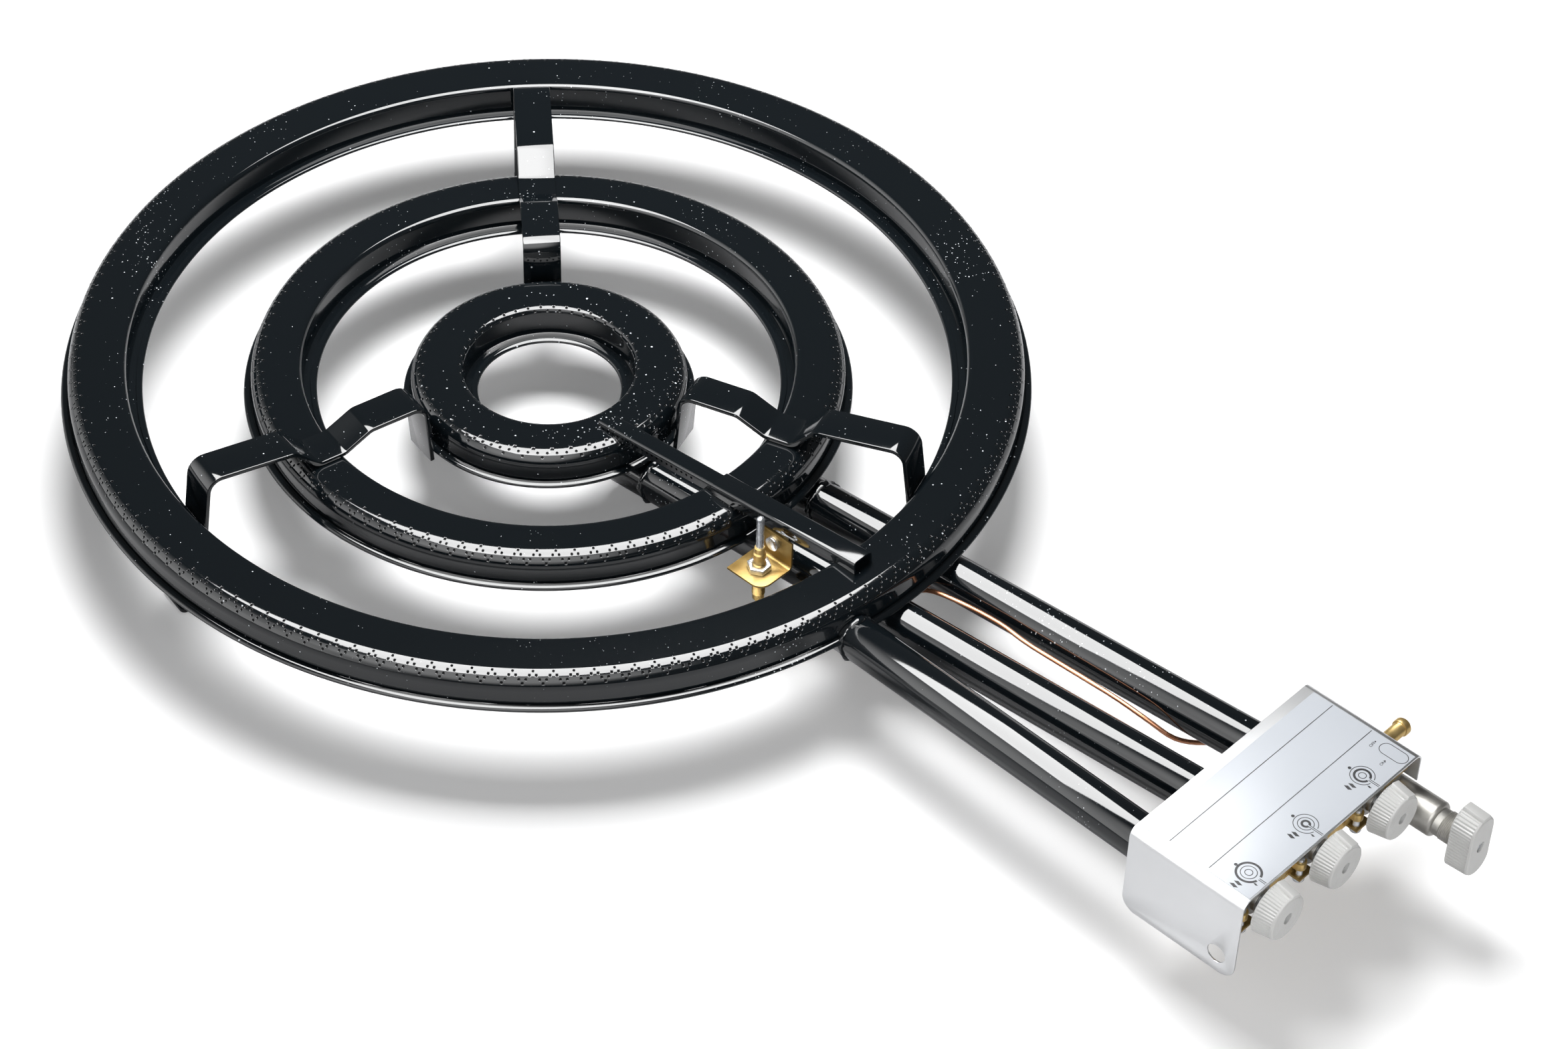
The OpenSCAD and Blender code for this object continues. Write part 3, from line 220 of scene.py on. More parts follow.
def fleck_layer(tree, place, scale, size, crowd_scale, crowd):
    """A mask of small round flecks that crowd in some areas and are missing from others."""
    cells = add_node(tree, "TexVoronoi", Scale=scale)
    clouds = add_node(tree, "TexNoise", Scale=crowd_scale, Detail=1.0)
    for node in (cells, clouds):
        tree.links.new(place, node.inputs["Vector"])
    chance = add_node(tree, "SeparateColor")
    tree.links.new(cells.outputs["Color"], chance.inputs["Color"])
    spare = combine(tree, "SUBTRACT", spread(tree, clouds.outputs["Fac"], crowd), chance.outputs["Red"])
    limit = combine(tree, "MULTIPLY", spare, size * scale * 2, clamp=True)
    return combine(tree, "LESS_THAN", cells.outputs["Distance"], limit)


large_flecks = fleck_layer(tree, place, scale=230.0, size=0.48 * MM, crowd_scale=6.0, crowd=(0.18, 0.9))
small_flecks = fleck_layer(tree, place, scale=520.0, size=0.3 * MM, crowd_scale=14.0, crowd=(0.42, 0.85))
flecks = combine(tree, "MAXIMUM", large_flecks, small_flecks)
lumps = add_node(tree, "TexNoise", Scale=24.0, Detail=1.0)
lump_bump = add_node(tree, "Bump", Strength=0.35, Distance=0.6 * MM)
tree.links.new(blend_colours(tree, flecks, enamel_black, fleck_white), shader.inputs["Base Color"])
tree.links.new(place, lumps.inputs["Vector"])
tree.links.new(lumps.outputs["Fac"], lump_bump.inputs["Height"])
tree.links.new(lump_bump.outputs["Normal"], shader.inputs["Normal"])

# Port bottoms: near-black with a faint noise. This is painted shade that stands in for the dark inside of
# each gas port.
hole_shade_tones = ((0.0012, 0.0012, 0.0014), (0.003, 0.003, 0.0034))
port_shade_paint, tree, shader = new_material("painted_port_shade")
shader.inputs["Roughness"].default_value = 0.9
hole_shade_noise = add_node(tree, "TexNoise", Scale=900.0)
tree.links.new(add_node(tree, "TexCoord").outputs["Object"], hole_shade_noise.inputs["Vector"])
tree.links.new(blend_colours(tree, hole_shade_noise.outputs["Fac"], *hole_shade_tones), shader.inputs["Base Color"])

outer_width = 36.0 * MM
middle_width = 31.5 * MM
inner_width = 32.7 * MM
flange_out = 3.0 * MM
flange_in = 6.7 * MM
shoulder_r = 9.5 * MM
inner_shoulder_r = 4.0 * MM
foot_fillet = 0.8 * MM
fillet_waist = foot_fillet * 0.3
port_half = 1.1 * MM
inner_port_half = 1.0 * MM
row_half = math.degrees(port_half / shoulder_r)
inner_row_half = math.degrees(inner_port_half / inner_shoulder_r)
plain_marks = range(0, 91, 15)
top_margin = 0.35 * MM


def turned_points(middle, radius, tilts, side):
    """Points of a round shoulder, at tilts in degrees from straight up, leaning to one side."""
    return [(middle[0] + side * radius * math.sin(math.radians(tilt)),
             middle[1] + radius * math.cos(math.radians(tilt))) for tilt in tilts]


def edges_of_rows(rows, half):
    """The tilts at which a shoulder is divided so that each row of ports has its own band."""
    marks = [0.0] + [row + side * half for row in rows for side in (-1, 1)]
    spare = (90.0 - marks[-1]) / 2
    return marks + [marks[-1] + spare, 90.0]


def crown_outline(wall, width, top, rows, inner_rows):
    """The closed section of a ring crown as (radius, height) points, from its outer flange round."""
    outer_middle = (wall - shoulder_r, top - shoulder_r)
    inner_middle = (wall - width + inner_shoulder_r, top - inner_shoulder_r)
    inner_marks = edges_of_rows(inner_rows, inner_row_half) if inner_rows else plain_marks
    half = sheet_t / 2
    outer_foot = [(wall + flange_out, -half), (wall + flange_out, half), (wall + foot_fillet, half),
                  (wall + fillet_waist, half + fillet_waist), (wall, half + foot_fillet)]
    inner_wall = wall - width
    inner_foot = [(inner_wall, half + foot_fillet), (inner_wall - fillet_waist, half + fillet_waist),
                  (inner_wall - foot_fillet, half),
                  (inner_wall - flange_in, half), (inner_wall - flange_in, -half)]
    return (outer_foot
            + turned_points(outer_middle, shoulder_r, reversed(edges_of_rows(rows, row_half)), 1)
            + [(outer_middle[0] - top_margin, top), (inner_middle[0] + top_margin, top)]
            + turned_points(inner_middle, inner_shoulder_r, inner_marks, -1)
            + inner_foot)


def spun_sector(name, outline, axis, steps, sweep):
    """A closed outline swept about an upright axis through a part or the whole of a turn."""
    bpy.ops.object.select_all(action="DESELECT")
    bpy.ops.mesh.primitive_circle_add(vertices=len(outline), radius=outline[0][0])
    piece = bpy.context.object
    piece.name = name
    for vertex, (radius, height) in zip(piece.data.vertices, outline):
        vertex.co = axis + Vector((radius, 0, height))
    bpy.ops.object.mode_set(mode="EDIT")
    bpy.ops.mesh.select_all(action="SELECT")
    bpy.ops.mesh.spin(steps=steps, angle=sweep, center=axis, axis=(0, 0, -1))
    bpy.ops.object.mode_set(mode="OBJECT")
    return piece


def select_none(mesh):
    """Clear what is selected in a mesh, so that code can choose faces or edges."""
    for items in (mesh.vertices, mesh.edges, mesh.polygons):
        items.foreach_set("select", [False] * len(items))


def select_faces(piece, test):
    """Select only the faces that pass a test, ready for edit mode."""
    select_none(piece.data)
    for face in piece.data.polygons:
        face.select = test(face)
    bpy.context.tool_settings.mesh_select_mode = (False, False, True)


def close_up(piece, smooth_angle=35):
    """Merge the seams of a swept piece, turn its faces outwards and smooth its round stretches."""
    bpy.ops.object.mode_set(mode="EDIT")
    bpy.ops.mesh.select_all(action="SELECT")
    bpy.ops.mesh.remove_doubles(threshold=0.01 * MM)
    bpy.ops.mesh.normals_make_consistent(inside=False)
    bpy.ops.object.mode_set(mode="OBJECT")
    bpy.ops.object.shade_smooth_by_angle(angle=math.radians(smooth_angle))


port_border = 0.05 * MM
port_near = 0.5 * MM
port_centre = 0.3 * MM
port_slack = 1.06
port_rim_r = 0.98 * MM
port_lip = (0.16 * MM, -0.09 * MM)
port_throat = (0.09 * MM, -0.16 * MM)
port_bore = (0.02 * MM, -0.7 * MM)


def press_ports(piece, seats):
    """Dimple and pierce the faces at the seats: a funnel first, then a shallow hole whose bottom is painted
    near-black as painted shade for the dark depth of the port.
    """
    select_faces(piece, lambda face: any((face.center - seat).length < port_near for seat, reach in seats))
    bpy.ops.object.mode_set(mode="EDIT")
    bpy.ops.mesh.normals_make_consistent(inside=False)
    bpy.ops.mesh.inset(thickness=port_border, use_individual=True)
    bpy.ops.mesh.subdivide(number_cuts=1)
    bpy.ops.object.mode_set(mode="OBJECT")
    select_faces(piece, lambda face: any((face.center - seat).length < reach for seat, reach in seats))
    mesh = piece.data
    for index in {corner for face in mesh.polygons if face.select for corner in face.vertices}:
        corner = mesh.vertices[index].co
        seat = min((place for place, reach in seats), key=lambda place: (corner - place).length)
        away = corner - seat
        if away.length > port_centre:
            mesh.vertices[index].co = seat + away.normalized() * port_rim_r
    bpy.ops.object.mode_set(mode="EDIT")
    for width, depth in (port_lip, port_throat, port_bore):
        bpy.ops.mesh.inset(thickness=width, depth=depth)
    bpy.ops.object.mode_set(mode="OBJECT")
    # The bottom faces of the bores take the painted shade material, and the rest stays enamel.
    for face in mesh.polygons:
        face.material_index = 1 if face.select else 0


def ring_crown(node_name, piece_name, width, periods, rows, weave, inner_rows=()):
    """One ported ring: a single repeat of its port pattern, then copies all the way round."""
    low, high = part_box(node_name)
    axis = Vector((ring_axis.x, ring_axis.y, low[2] + sheet_t / 2))
    wall = high[0] - flange_out
    top = high[2] - axis.z
    columns = len(weave)
    repeat = math.tau / periods
    outline = crown_outline(wall, width, top, rows, inner_rows)
    piece = spun_sector(piece_name, outline, axis, columns, repeat)
    piece.data.materials.append(enamel)
    piece.data.materials.append(port_shade_paint)
    seats = []
    for column, row in enumerate(weave):
        turn = Matrix.Rotation(repeat * (column + 0.5) / columns, 3, "Z")
        spots = turned_points((wall - shoulder_r, top - shoulder_r), shoulder_r, [rows[row]], 1)
        halves = [port_half]
        if inner_rows and column % 2 == 0:
            inner_middle = (wall - width + inner_shoulder_r, top - inner_shoulder_r)
            spots += turned_points(inner_middle, inner_shoulder_r, [inner_rows[column // 2]], -1)
            halves.append(inner_port_half)
        for (radius, height), half in zip(spots, halves):
            reach = port_slack * math.hypot(radius * repeat / columns / 4, half / 2)
            seats.append((axis + turn @ Vector((radius, 0, height)), reach))
    press_ports(piece, seats)
    bpy.ops.object.mode_set(mode="EDIT")
    bpy.ops.mesh.select_all(action="SELECT")
    bpy.ops.mesh.spin(steps=periods - 1, angle=math.tau - repeat, center=axis, axis=(0, 0, -1), dupli=True)
    bpy.ops.object.mode_set(mode="OBJECT")
    close_up(piece, smooth_angle=40)
    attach(piece, "burner")
    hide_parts(node_name)


deep_weave = (0, 1, 2, 3, 2, 1)
shallow_weave = (0, 1, 2, 1)
ring_crown("outer_ring_shell", "outer_ring_crown", outer_width,
           periods=156, rows=(10, 27, 42, 56), weave=deep_weave)
ring_crown("middle_ring_shell", "middle_ring_crown", middle_width,
           periods=100, rows=(10, 28, 45, 60), weave=deep_weave)
ring_crown("inner_ring_shell", "inner_ring_crown", inner_width,
           periods=43, rows=(11, 28, 45), weave=shallow_weave, inner_rows=(25, 62))

# Ring pans: flat rings that close the crowns from below. Their edges are rolled over the crown's
# flange into a round hem, and the enamel has sagged into a wavy line along the fold.
hem_r = 2.0 * MM
hem_width = 3.8 * MM
hem_margin = 3.5 * MM
lip_out = 5.0 * MM
lip_in = 8.7 * MM
fold_gap = 0.3 * MM
fold_top = hem_r * 0.6
fold_wave = 0.45 * MM
slow_waves = 45.0
quick_waves = 110.0
quick_share = 0.6
pan_columns = 240


def ring_pan(node_name, piece_name, width):
    """One rolled pan, spun from its section, with a wavy fold on top of each hem."""
    low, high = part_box(node_name)
    axis = Vector((ring_axis.x, ring_axis.y, (low[2] + high[2]) / 2))
    outer = high[0]
    inner = outer - lip_out - width - lip_in
    middle = (outer + inner) / 2
    crowned = [(hem_width * math.cos(math.radians(turn)), hem_r * math.sin(math.radians(turn)))
               for turn in range(-90, 91, 12)]
    fold_edge = hem_width + fold_gap
    outline = [(outer - hem_width + reach, height) for reach, height in crowned]
    outline += [(outer - fold_edge, fold_top), (outer - fold_edge, 0)]
    outline += [(inner + fold_edge, 0), (inner + fold_edge, fold_top)]
    outline += [(inner + hem_width - reach, height) for reach, height in reversed(crowned)]
    piece = spun_sector(piece_name, outline, axis, pan_columns, math.tau)
    for vertex in piece.data.vertices:
        offset = vertex.co - axis
        reach = Vector((offset.x, offset.y, 0))
        if offset.z > fold_top and abs(reach.length - middle) < (outer - inner) / 2 - hem_margin:
            side = 1 if reach.length < middle else -1
            wave = noise.noise(reach * slow_waves) + quick_share * noise.noise(reach * quick_waves)
            vertex.co += reach.normalized() * side * wave * fold_wave
    piece.data.materials.append(enamel)
    close_up(piece, smooth_angle=45)
    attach(piece, "burner")
    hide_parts(node_name)


ring_pan("outer_ring_pan", "outer_ring_hem", outer_width)
ring_pan("middle_ring_pan", "middle_ring_hem", middle_width)
ring_pan("inner_ring_pan", "inner_ring_hem", inner_width)

# Feed tubes: three straight steel pipes that carry the gas and air from the injectors to the rings.
# Each is welded to its ring by a lumpy bead, and all is enamelled over.
nodes = frame["nodes"]
finishes = {"enamel": enamel}
slots = {row["node"]: row["material_slot"] for row in frame["record"]["subparts"]}
sharp_angle = math.radians(32)
flat_angle = math.radians(0.6)


def round_corner(piece, place, radius):
    """Round the upright edge of a plate that stands nearest to a place."""
    mesh = piece.data
    select_none(mesh)

    def off_corner(edge):
        start, end = (mesh.vertices[index].co for index in edge.vertices)
        upright = Vector((start.x - end.x, start.y - end.y, 0)).length < 0.01 * MM
        return ((start + end) / 2 - place).length if upright else math.inf

    min(mesh.edges, key=off_corner).select = True
    bpy.context.tool_settings.mesh_select_mode = (False, True, False)
    bpy.ops.object.mode_set(mode="EDIT")
    bpy.ops.mesh.bevel(offset=radius, segments=8)
    bpy.ops.object.mode_set(mode="OBJECT")


def dress(node_name, edge=0.4 * MM, body="burner", smooth=35, corner=None, corner_r=0.0):
    """A finished copy of a CAD piece: merged, its edges rounded, in the material of its slot."""
    bpy.ops.object.select_all(action="DESELECT")
    piece = bpy.data.objects.new(node_name + "_made", nodes[node_name].data.copy())
    scene.collection.objects.link(piece)
    bpy.context.view_layer.objects.active = piece
    piece.select_set(True)
    bpy.ops.mesh.customdata_custom_splitnormals_clear()
    bpy.ops.object.mode_set(mode="EDIT")
    bpy.ops.mesh.select_all(action="SELECT")
    bpy.ops.mesh.remove_doubles(threshold=0.002 * MM)
    bpy.ops.mesh.normals_make_consistent(inside=False)
    bpy.ops.mesh.dissolve_limited(angle_limit=flat_angle)
    bpy.ops.object.mode_set(mode="OBJECT")
    if corner:
        round_corner(piece, corner, corner_r)
    if edge:
        rounding = piece.modifiers.new("rounded_edges", "BEVEL")
        rounding.width = edge
        rounding.segments = 2
        rounding.limit_method = "ANGLE"
        rounding.angle_limit = sharp_angle
        bpy.ops.object.modifier_apply(modifier=rounding.name)
    bpy.ops.object.shade_smooth_by_angle(angle=math.radians(smooth))
    piece.data.materials.clear()
    piece.data.materials.append(finishes[slots[node_name]])
    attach(piece, body)
    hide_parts(node_name)
    return piece


weld_r = 12.7 * MM
large_lumps = 130.0
small_lumps = 380.0
small_share = 0.6
lump_bias = 0.15
lump_rise = 1.1


def weld_bead(name, place, way, bead_r):
    """A lumpy ring of weld about a tube, enamelled with it."""
    bpy.ops.object.select_all(action="DESELECT")
    bpy.ops.mesh.primitive_torus_add(major_radius=weld_r, minor_radius=bead_r,
                                     major_segments=48, minor_segments=10)
    piece = bpy.context.object
    piece.name = name
    for vertex in piece.data.vertices:
        lump = noise.noise(vertex.co * large_lumps) + small_share * noise.noise(vertex.co * small_lumps)
        vertex.co += vertex.normal * (lump - lump_bias) * bead_r * lump_rise
    piece.data.transform(Matrix.Translation(place) @ way.to_track_quat("Z", "Y").to_matrix().to_4x4())
    bpy.ops.object.shade_smooth()
    piece.data.materials.append(enamel)
    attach(piece, "burner")


for tube in ("outer_feed_tube", "middle_feed_tube", "inner_feed_tube"):
    dress(tube, edge=0.3 * MM)
weld_bead("outer_tube_weld", from_rings(-38.6, -295.5, -3.6), Vector((13, 262, -10.5)), bead_r=2.3 * MM)
weld_bead("middle_tube_weld", from_rings(51, -186, -27.5), Vector((0, 395, -38)), bead_r=2.4 * MM)
weld_bead("inner_tube_weld", from_rings(0, -93, -36.6), Vector((0, 489, -47)), bead_r=2.4 * MM)

# Pan supports: three steel strips, each bent in one piece into a foot, a leg, two flat rests and an
# inner leg. They are welded under the rings and enamelled with them.
for support in ("rear_pan_support", "left_pan_support", "right_pan_support"):
    dress(support, edge=0.6 * MM)

# Carry-over: a folded channel with small holes that leads the flame from the inner to the outer ring,
# a folded cover over its far half, and a lug below it. All are steel sheet, welded and enamelled.
dress("carry_over_channel", edge=0)
dress("carry_over_cover", edge=0.25 * MM)
dress("thermocouple_lug", edge=0.3 * MM)


# Thermocouple: a brass sleeve with a cut thread holds the steel probe in a yellow zinc bracket,
# screwed to a lug below the carry-over. A bare copper lead runs from it to the safety valve.
def wear_group(noise_span):
    """Fine grain and large faint patches, for anything handled, plated or drawn."""
    group = bpy.data.node_groups.new("grain_and_patches", "ShaderNodeTree")
    group.interface.new_socket("Vector", in_out="INPUT", socket_type="NodeSocketVector")
    group.interface.new_socket("Grain Scale", in_out="INPUT", socket_type="NodeSocketFloat")
    group.interface.new_socket("Patch Scale", in_out="INPUT", socket_type="NodeSocketFloat")
    group.interface.new_socket("Grain", in_out="OUTPUT", socket_type="NodeSocketFloat")
    group.interface.new_socket("Patches", in_out="OUTPUT", socket_type="NodeSocketFloat")
    start = group.nodes.new("NodeGroupInput")
    end = group.nodes.new("NodeGroupOutput")
    for source, target in (("Grain Scale", "Grain"), ("Patch Scale", "Patches")):
        pattern = add_node(group, "TexNoise", Detail=3.0)
        group.links.new(start.outputs["Vector"], pattern.inputs["Vector"])
        group.links.new(start.outputs[source], pattern.inputs["Scale"])
        group.links.new(spread(group, pattern.outputs["Fac"], noise_span), end.inputs[target])
    return group


grain_and_patches = wear_group(noise_span=(0.3, 0.7))


def worked_finish(name, tones, rough, metallic, grain, patches, relief):
    """A metal or plastic whose colour, gloss and relief vary with its grain and patches."""
    material, tree, shader = new_material(name)
    wear = tree.nodes.new("ShaderNodeGroup")
    wear.node_tree = grain_and_patches
    wear.inputs["Grain Scale"].default_value = grain
    wear.inputs["Patch Scale"].default_value = patches
    tree.links.new(add_node(tree, "TexCoord").outputs["Object"], wear.inputs["Vector"])
    gloss = spread(tree, wear.outputs["Patches"], (0.0, 1.0), rough)
    bump = add_node(tree, "Bump", Strength=0.5, Distance=relief)
    tree.links.new(blend_colours(tree, wear.outputs["Patches"], *tones), shader.inputs["Base Color"])
    tree.links.new(gloss, shader.inputs["Roughness"])
    tree.links.new(wear.outputs["Grain"], bump.inputs["Height"])
    tree.links.new(bump.outputs["Normal"], shader.inputs["Normal"])
    shader.inputs["Metallic"].default_value = metallic
    return material


finishes["yellow_zinc"] = worked_finish(
    "yellow_zinc_plate", ((0.23, 0.14, 0.035), (0.34, 0.24, 0.085)),
    rough=(0.3, 0.45), metallic=0.7, grain=1800.0, patches=60.0, relief=0.03 * MM)
finishes["bright_zinc"] = worked_finish(
    "bright_zinc_plate", ((0.50, 0.52, 0.55), (0.72, 0.74, 0.77)),
    rough=(0.2, 0.36), metallic=0.85, grain=2200.0, patches=140.0, relief=0.02 * MM)
finishes["brass"] = worked_finish(
    "turned_brass", ((0.52, 0.33, 0.09), (0.72, 0.53, 0.23)),
    rough=(0.22, 0.36), metallic=0.8, grain=1500.0, patches=110.0, relief=0.02 * MM)
finishes["copper"] = worked_finish(
    "drawn_copper", ((0.50, 0.20, 0.10), (0.68, 0.33, 0.19)),
    rough=(0.2, 0.34), metallic=0.85, grain=900.0, patches=40.0, relief=0.02 * MM)


def lathe(name, outline, place, way, steps=40):
    """A closed outline turned about a line through a place."""
    piece = spun_sector(name, outline, Vector((0, 0, 0)), steps, math.tau)
    close_up(piece)
    piece.data.transform(Matrix.Translation(place) @ way.to_track_quat("Z", "Y").to_matrix().to_4x4())
    return piece


def thread_outline(low, high, root, crest, pitch):
    """The zig-zag of a cut thread, upwards along a turned piece."""
    turns = int((high - low) / pitch)
    return [point for turn in range(turns)
            for point in ((root, low + turn * pitch), (crest, low + (turn + 0.5) * pitch))]


sleeve_low, sleeve_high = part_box("thermocouple_sleeve")
sleeve_foot = (sleeve_low + sleeve_high) / 2
sleeve_foot.z = sleeve_low[2]
sleeve_h = sleeve_high[2] - sleeve_low[2]
sleeve_r = (sleeve_high[0] - sleeve_low[0]) / 2
sleeve_bore_r = 2.45 * MM
foot_r = sleeve_r * 0.9
root_r = sleeve_r * 0.87
groove_r = sleeve_r * 0.86
collar_r = sleeve_r * 0.98
mouth_r = sleeve_r * 0.8
rim_r = sleeve_r * 0.7
chamfer = 0.5 * MM
foot_top = 4.0 * MM
thread_foot, thread_top = 4.4 * MM, sleeve_h - 11 * MM
thread_pitch = 1.0 * MM
groove_top = sleeve_h - 9 * MM
collar_foot, collar_top = sleeve_h - 8.6 * MM, sleeve_h - 5 * MM
mouth_foot = sleeve_h - 4 * MM
sleeve_outline = [(sleeve_bore_r, 0), (mouth_r, 0), (foot_r, chamfer), (foot_r, foot_top)]
sleeve_outline += thread_outline(thread_foot, thread_top, root_r, sleeve_r, thread_pitch)
sleeve_outline += [(groove_r, thread_top), (groove_r, groove_top),
                   (collar_r, collar_foot), (collar_r, collar_top),
                   (mouth_r, mouth_foot), (mouth_r, sleeve_h - chamfer),
                   (rim_r, sleeve_h), (sleeve_bore_r, sleeve_h)]
sleeve = lathe("thermocouple_sleeve_made", sleeve_outline, sleeve_foot, Vector((0, 0, 1)))
sleeve.data.materials.append(finishes["brass"])
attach(sleeve, "burner")
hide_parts("thermocouple_sleeve")
bracket_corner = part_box("thermocouple_bracket")[0]
dress("thermocouple_bracket", edge=0.35 * MM, corner=bracket_corner, corner_r=8.0 * MM)
dress("bracket_screw", edge=0.25 * MM)
nuts = dress("thermocouple_nuts", edge=0.3 * MM)
nuts.data.materials[0] = finishes["bright_zinc"]
dress("thermocouple_tip", edge=0.15 * MM)
dress("thermocouple_lead", edge=0, smooth=60)

# Tap box: a folded sheet of satin steel, open at the front and below, hung on an enamelled tie plate.
# One side is deep and has a round hole, the other is only a short flap.
finishes["cover_sheet"] = worked_finish(
    "satin_sheet", ((0.76, 0.77, 0.78), (0.84, 0.85, 0.86)),
    rough=(0.28, 0.34), metallic=0.97, grain=300.0, patches=10.0, relief=0.002 * MM)
dress("tie_plate", edge=0.4 * MM)
dress("control_cover", edge=0.35 * MM)

# Label: a pale film stuck on top of the box. It has thin rules, a sign of the burner over each tap that
# shows the ring it feeds, and an oblong that shows the way the safety valve turns.
finishes["label_plate"] = worked_finish(
    "label_film", ((0.55, 0.585, 0.63), (0.60, 0.63, 0.675)),
    rough=(0.34, 0.42), metallic=0.0, grain=500.0, patches=9.0, relief=0.01 * MM)
dress("control_label", edge=0.08 * MM)
ink = worked_finish(
    "label_ink", ((0.012, 0.012, 0.014), (0.03, 0.03, 0.033)),
    rough=(0.4, 0.5), metallic=0.0, grain=900.0, patches=90.0, relief=0.005 * MM)
ink_rise = 0.06 * MM
circle_steps = 40
least_steps = 6
label_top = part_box("control_label")[1][2]
prints = []


def on_label(x, y):
    """A place on the film, in millimetres from the ring axis."""
    return Vector((ring_axis.x + x * MM, ring_axis.y + y * MM, label_top))


def ink_arc(middle, radius, line, start=0.0, sweep=math.tau):
    """A printed circle or arc of a given line width."""
    bpy.ops.object.select_all(action="DESELECT")
    bpy.ops.mesh.primitive_plane_add(size=1)
    piece = bpy.context.object
    turn = Matrix.Rotation(start, 3, "Z")
    for vertex in piece.data.vertices:
        reach = radius + (line / 2 if vertex.co.x > 0 else -line / 2)
        rise = ink_rise if vertex.co.y > 0 else -ink_rise
        vertex.co = middle + turn @ Vector((reach, 0, rise))
    bpy.ops.object.mode_set(mode="EDIT")
    bpy.ops.mesh.select_all(action="SELECT")
    bpy.ops.mesh.delete(type="ONLY_FACE")
    bpy.ops.mesh.select_all(action="SELECT")
    steps = max(least_steps, int(circle_steps * sweep / math.tau))
    bpy.ops.mesh.spin(steps=steps, angle=sweep, center=middle, axis=(0, 0, -1))
    bpy.ops.mesh.select_all(action="SELECT")
    bpy.ops.mesh.remove_doubles(threshold=0.001 * MM)
    bpy.ops.mesh.fill_holes(sides=4)
    bpy.ops.mesh.normals_make_consistent(inside=False)
    bpy.ops.object.mode_set(mode="OBJECT")
    prints.append(piece)


def ink_dot(middle, across):
    """A printed dot: a circle whose line reaches in to its middle."""
    ink_arc(middle, across / 4, across / 2)


def ink_bar(start, end, line, slant=0.0):
    """A printed bar between two places, with its ends cut at a slant."""
    bpy.ops.object.select_all(action="DESELECT")
    bpy.ops.mesh.primitive_cube_add(size=1)
    piece = bpy.context.object
    along = (end - start).normalized()
    across = Vector((-along.y, along.x, 0))
    for vertex in piece.data.vertices:
        side = 1 if vertex.co.y > 0 else -1
        corner = (end if vertex.co.x > 0 else start) + along * slant * side
        rise = ink_rise if vertex.co.z > 0 else -ink_rise
        vertex.co = corner + across * side * line / 2 + Vector((0, 0, rise))
    prints.append(piece)


def join_prints(name):
    """The marks made since the last joining, as one piece that still lacks a material."""
    bpy.ops.object.select_all(action="DESELECT")
    for piece in prints:
        piece.select_set(True)
    bpy.context.view_layer.objects.active = prints[0]
    bpy.ops.object.join()
    prints.clear()
    joined = bpy.context.object
    joined.name = name
    joined.data.materials.clear()
    return joined


rule_left, rule_right = -63, 81
fine_line = 0.45 * MM
bold_line = 1.4 * MM
tail_line = 0.42 * MM
oblong_line = 0.4 * MM
for rule_y in (-546, -573.5):
    ink_bar(on_label(rule_left, rule_y), on_label(rule_right, rule_y), fine_line)
sign_y = -590.8
sign_rings = (7.0, 4.6, 2.2)
sign_gap = math.radians(14)
tail_half = 0.55
tail_y = -602.4
sign_dot_x, sign_dot_y = -0.4, -582.2
sign_dot = 2.0 * MM
word_dot = 1.0 * MM
flame_tall, flame_wide, flame_slant, flame_lean = 0.75, 0.75, 0.3, 0.2
flame_marks = ((-12.9, -590.7, 2.4), (-10.0, -591.5, 2.4), (-4.2, -598.8, 1.3))
for sign_x, bold in ((-50.5, 7.0), (-0.8, 2.2), (49.8, 4.6)):
    for radius in sign_rings:
        line = bold_line if radius == bold else fine_line
        opening = sign_gap if radius >= bold else 0.0
        ink_arc(on_label(sign_x, sign_y), radius * MM, line, -math.pi / 2 + opening, math.tau - 2 * opening)
    for side in (-1, 1):
        tail_x = sign_x + tail_half * side
        ink_bar(on_label(tail_x, sign_y - bold), on_label(tail_x, tail_y), tail_line)
    ink_dot(on_label(sign_x + sign_dot_x, sign_dot_y), sign_dot)
    for mark_x, mark_y, size in flame_marks:
        mark = on_label(sign_x + mark_x, mark_y)
        lean = Vector((size * flame_lean, size * flame_tall, 0)) * MM
        ink_bar(mark - lean, mark + lean, size * flame_wide * MM, size * flame_slant * MM)
oblong = on_label(75.5, -593.0)
oblong_half = Vector((0, 4.7, 0)) * MM
oblong_r = 4.4 * MM
for side in (-1, 1):
    ink_arc(oblong + oblong_half * side, oblong_r, oblong_line, 0 if side > 0 else math.pi, math.pi)
    flank = oblong + Vector((oblong_r * side, 0, 0))
    ink_bar(flank - oblong_half, flank + oblong_half, oblong_line)
word_size = 2.6 * MM
word_drop = 0.9
for word, dot_x, dot_y, word_left in (("OFF", 75.5, -580.2, 5.2), ("ON", 67.4, -593.0, 4.4)):
    ink_dot(on_label(dot_x, dot_y), word_dot)
    bpy.ops.object.text_add(location=on_label(dot_x - word_left, dot_y - word_drop))
    letters = bpy.context.object
    letters.data.body = word
    letters.data.size = word_size
    letters.data.extrude = ink_rise
    bpy.ops.object.convert(target="MESH")
    bpy.ops.object.transform_apply(location=True, rotation=True, scale=True)
    close_up(letters)
    prints.append(letters)
label_print = join_prints("label_print")
label_print.data.materials.append(ink)
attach(label_print, "burner")

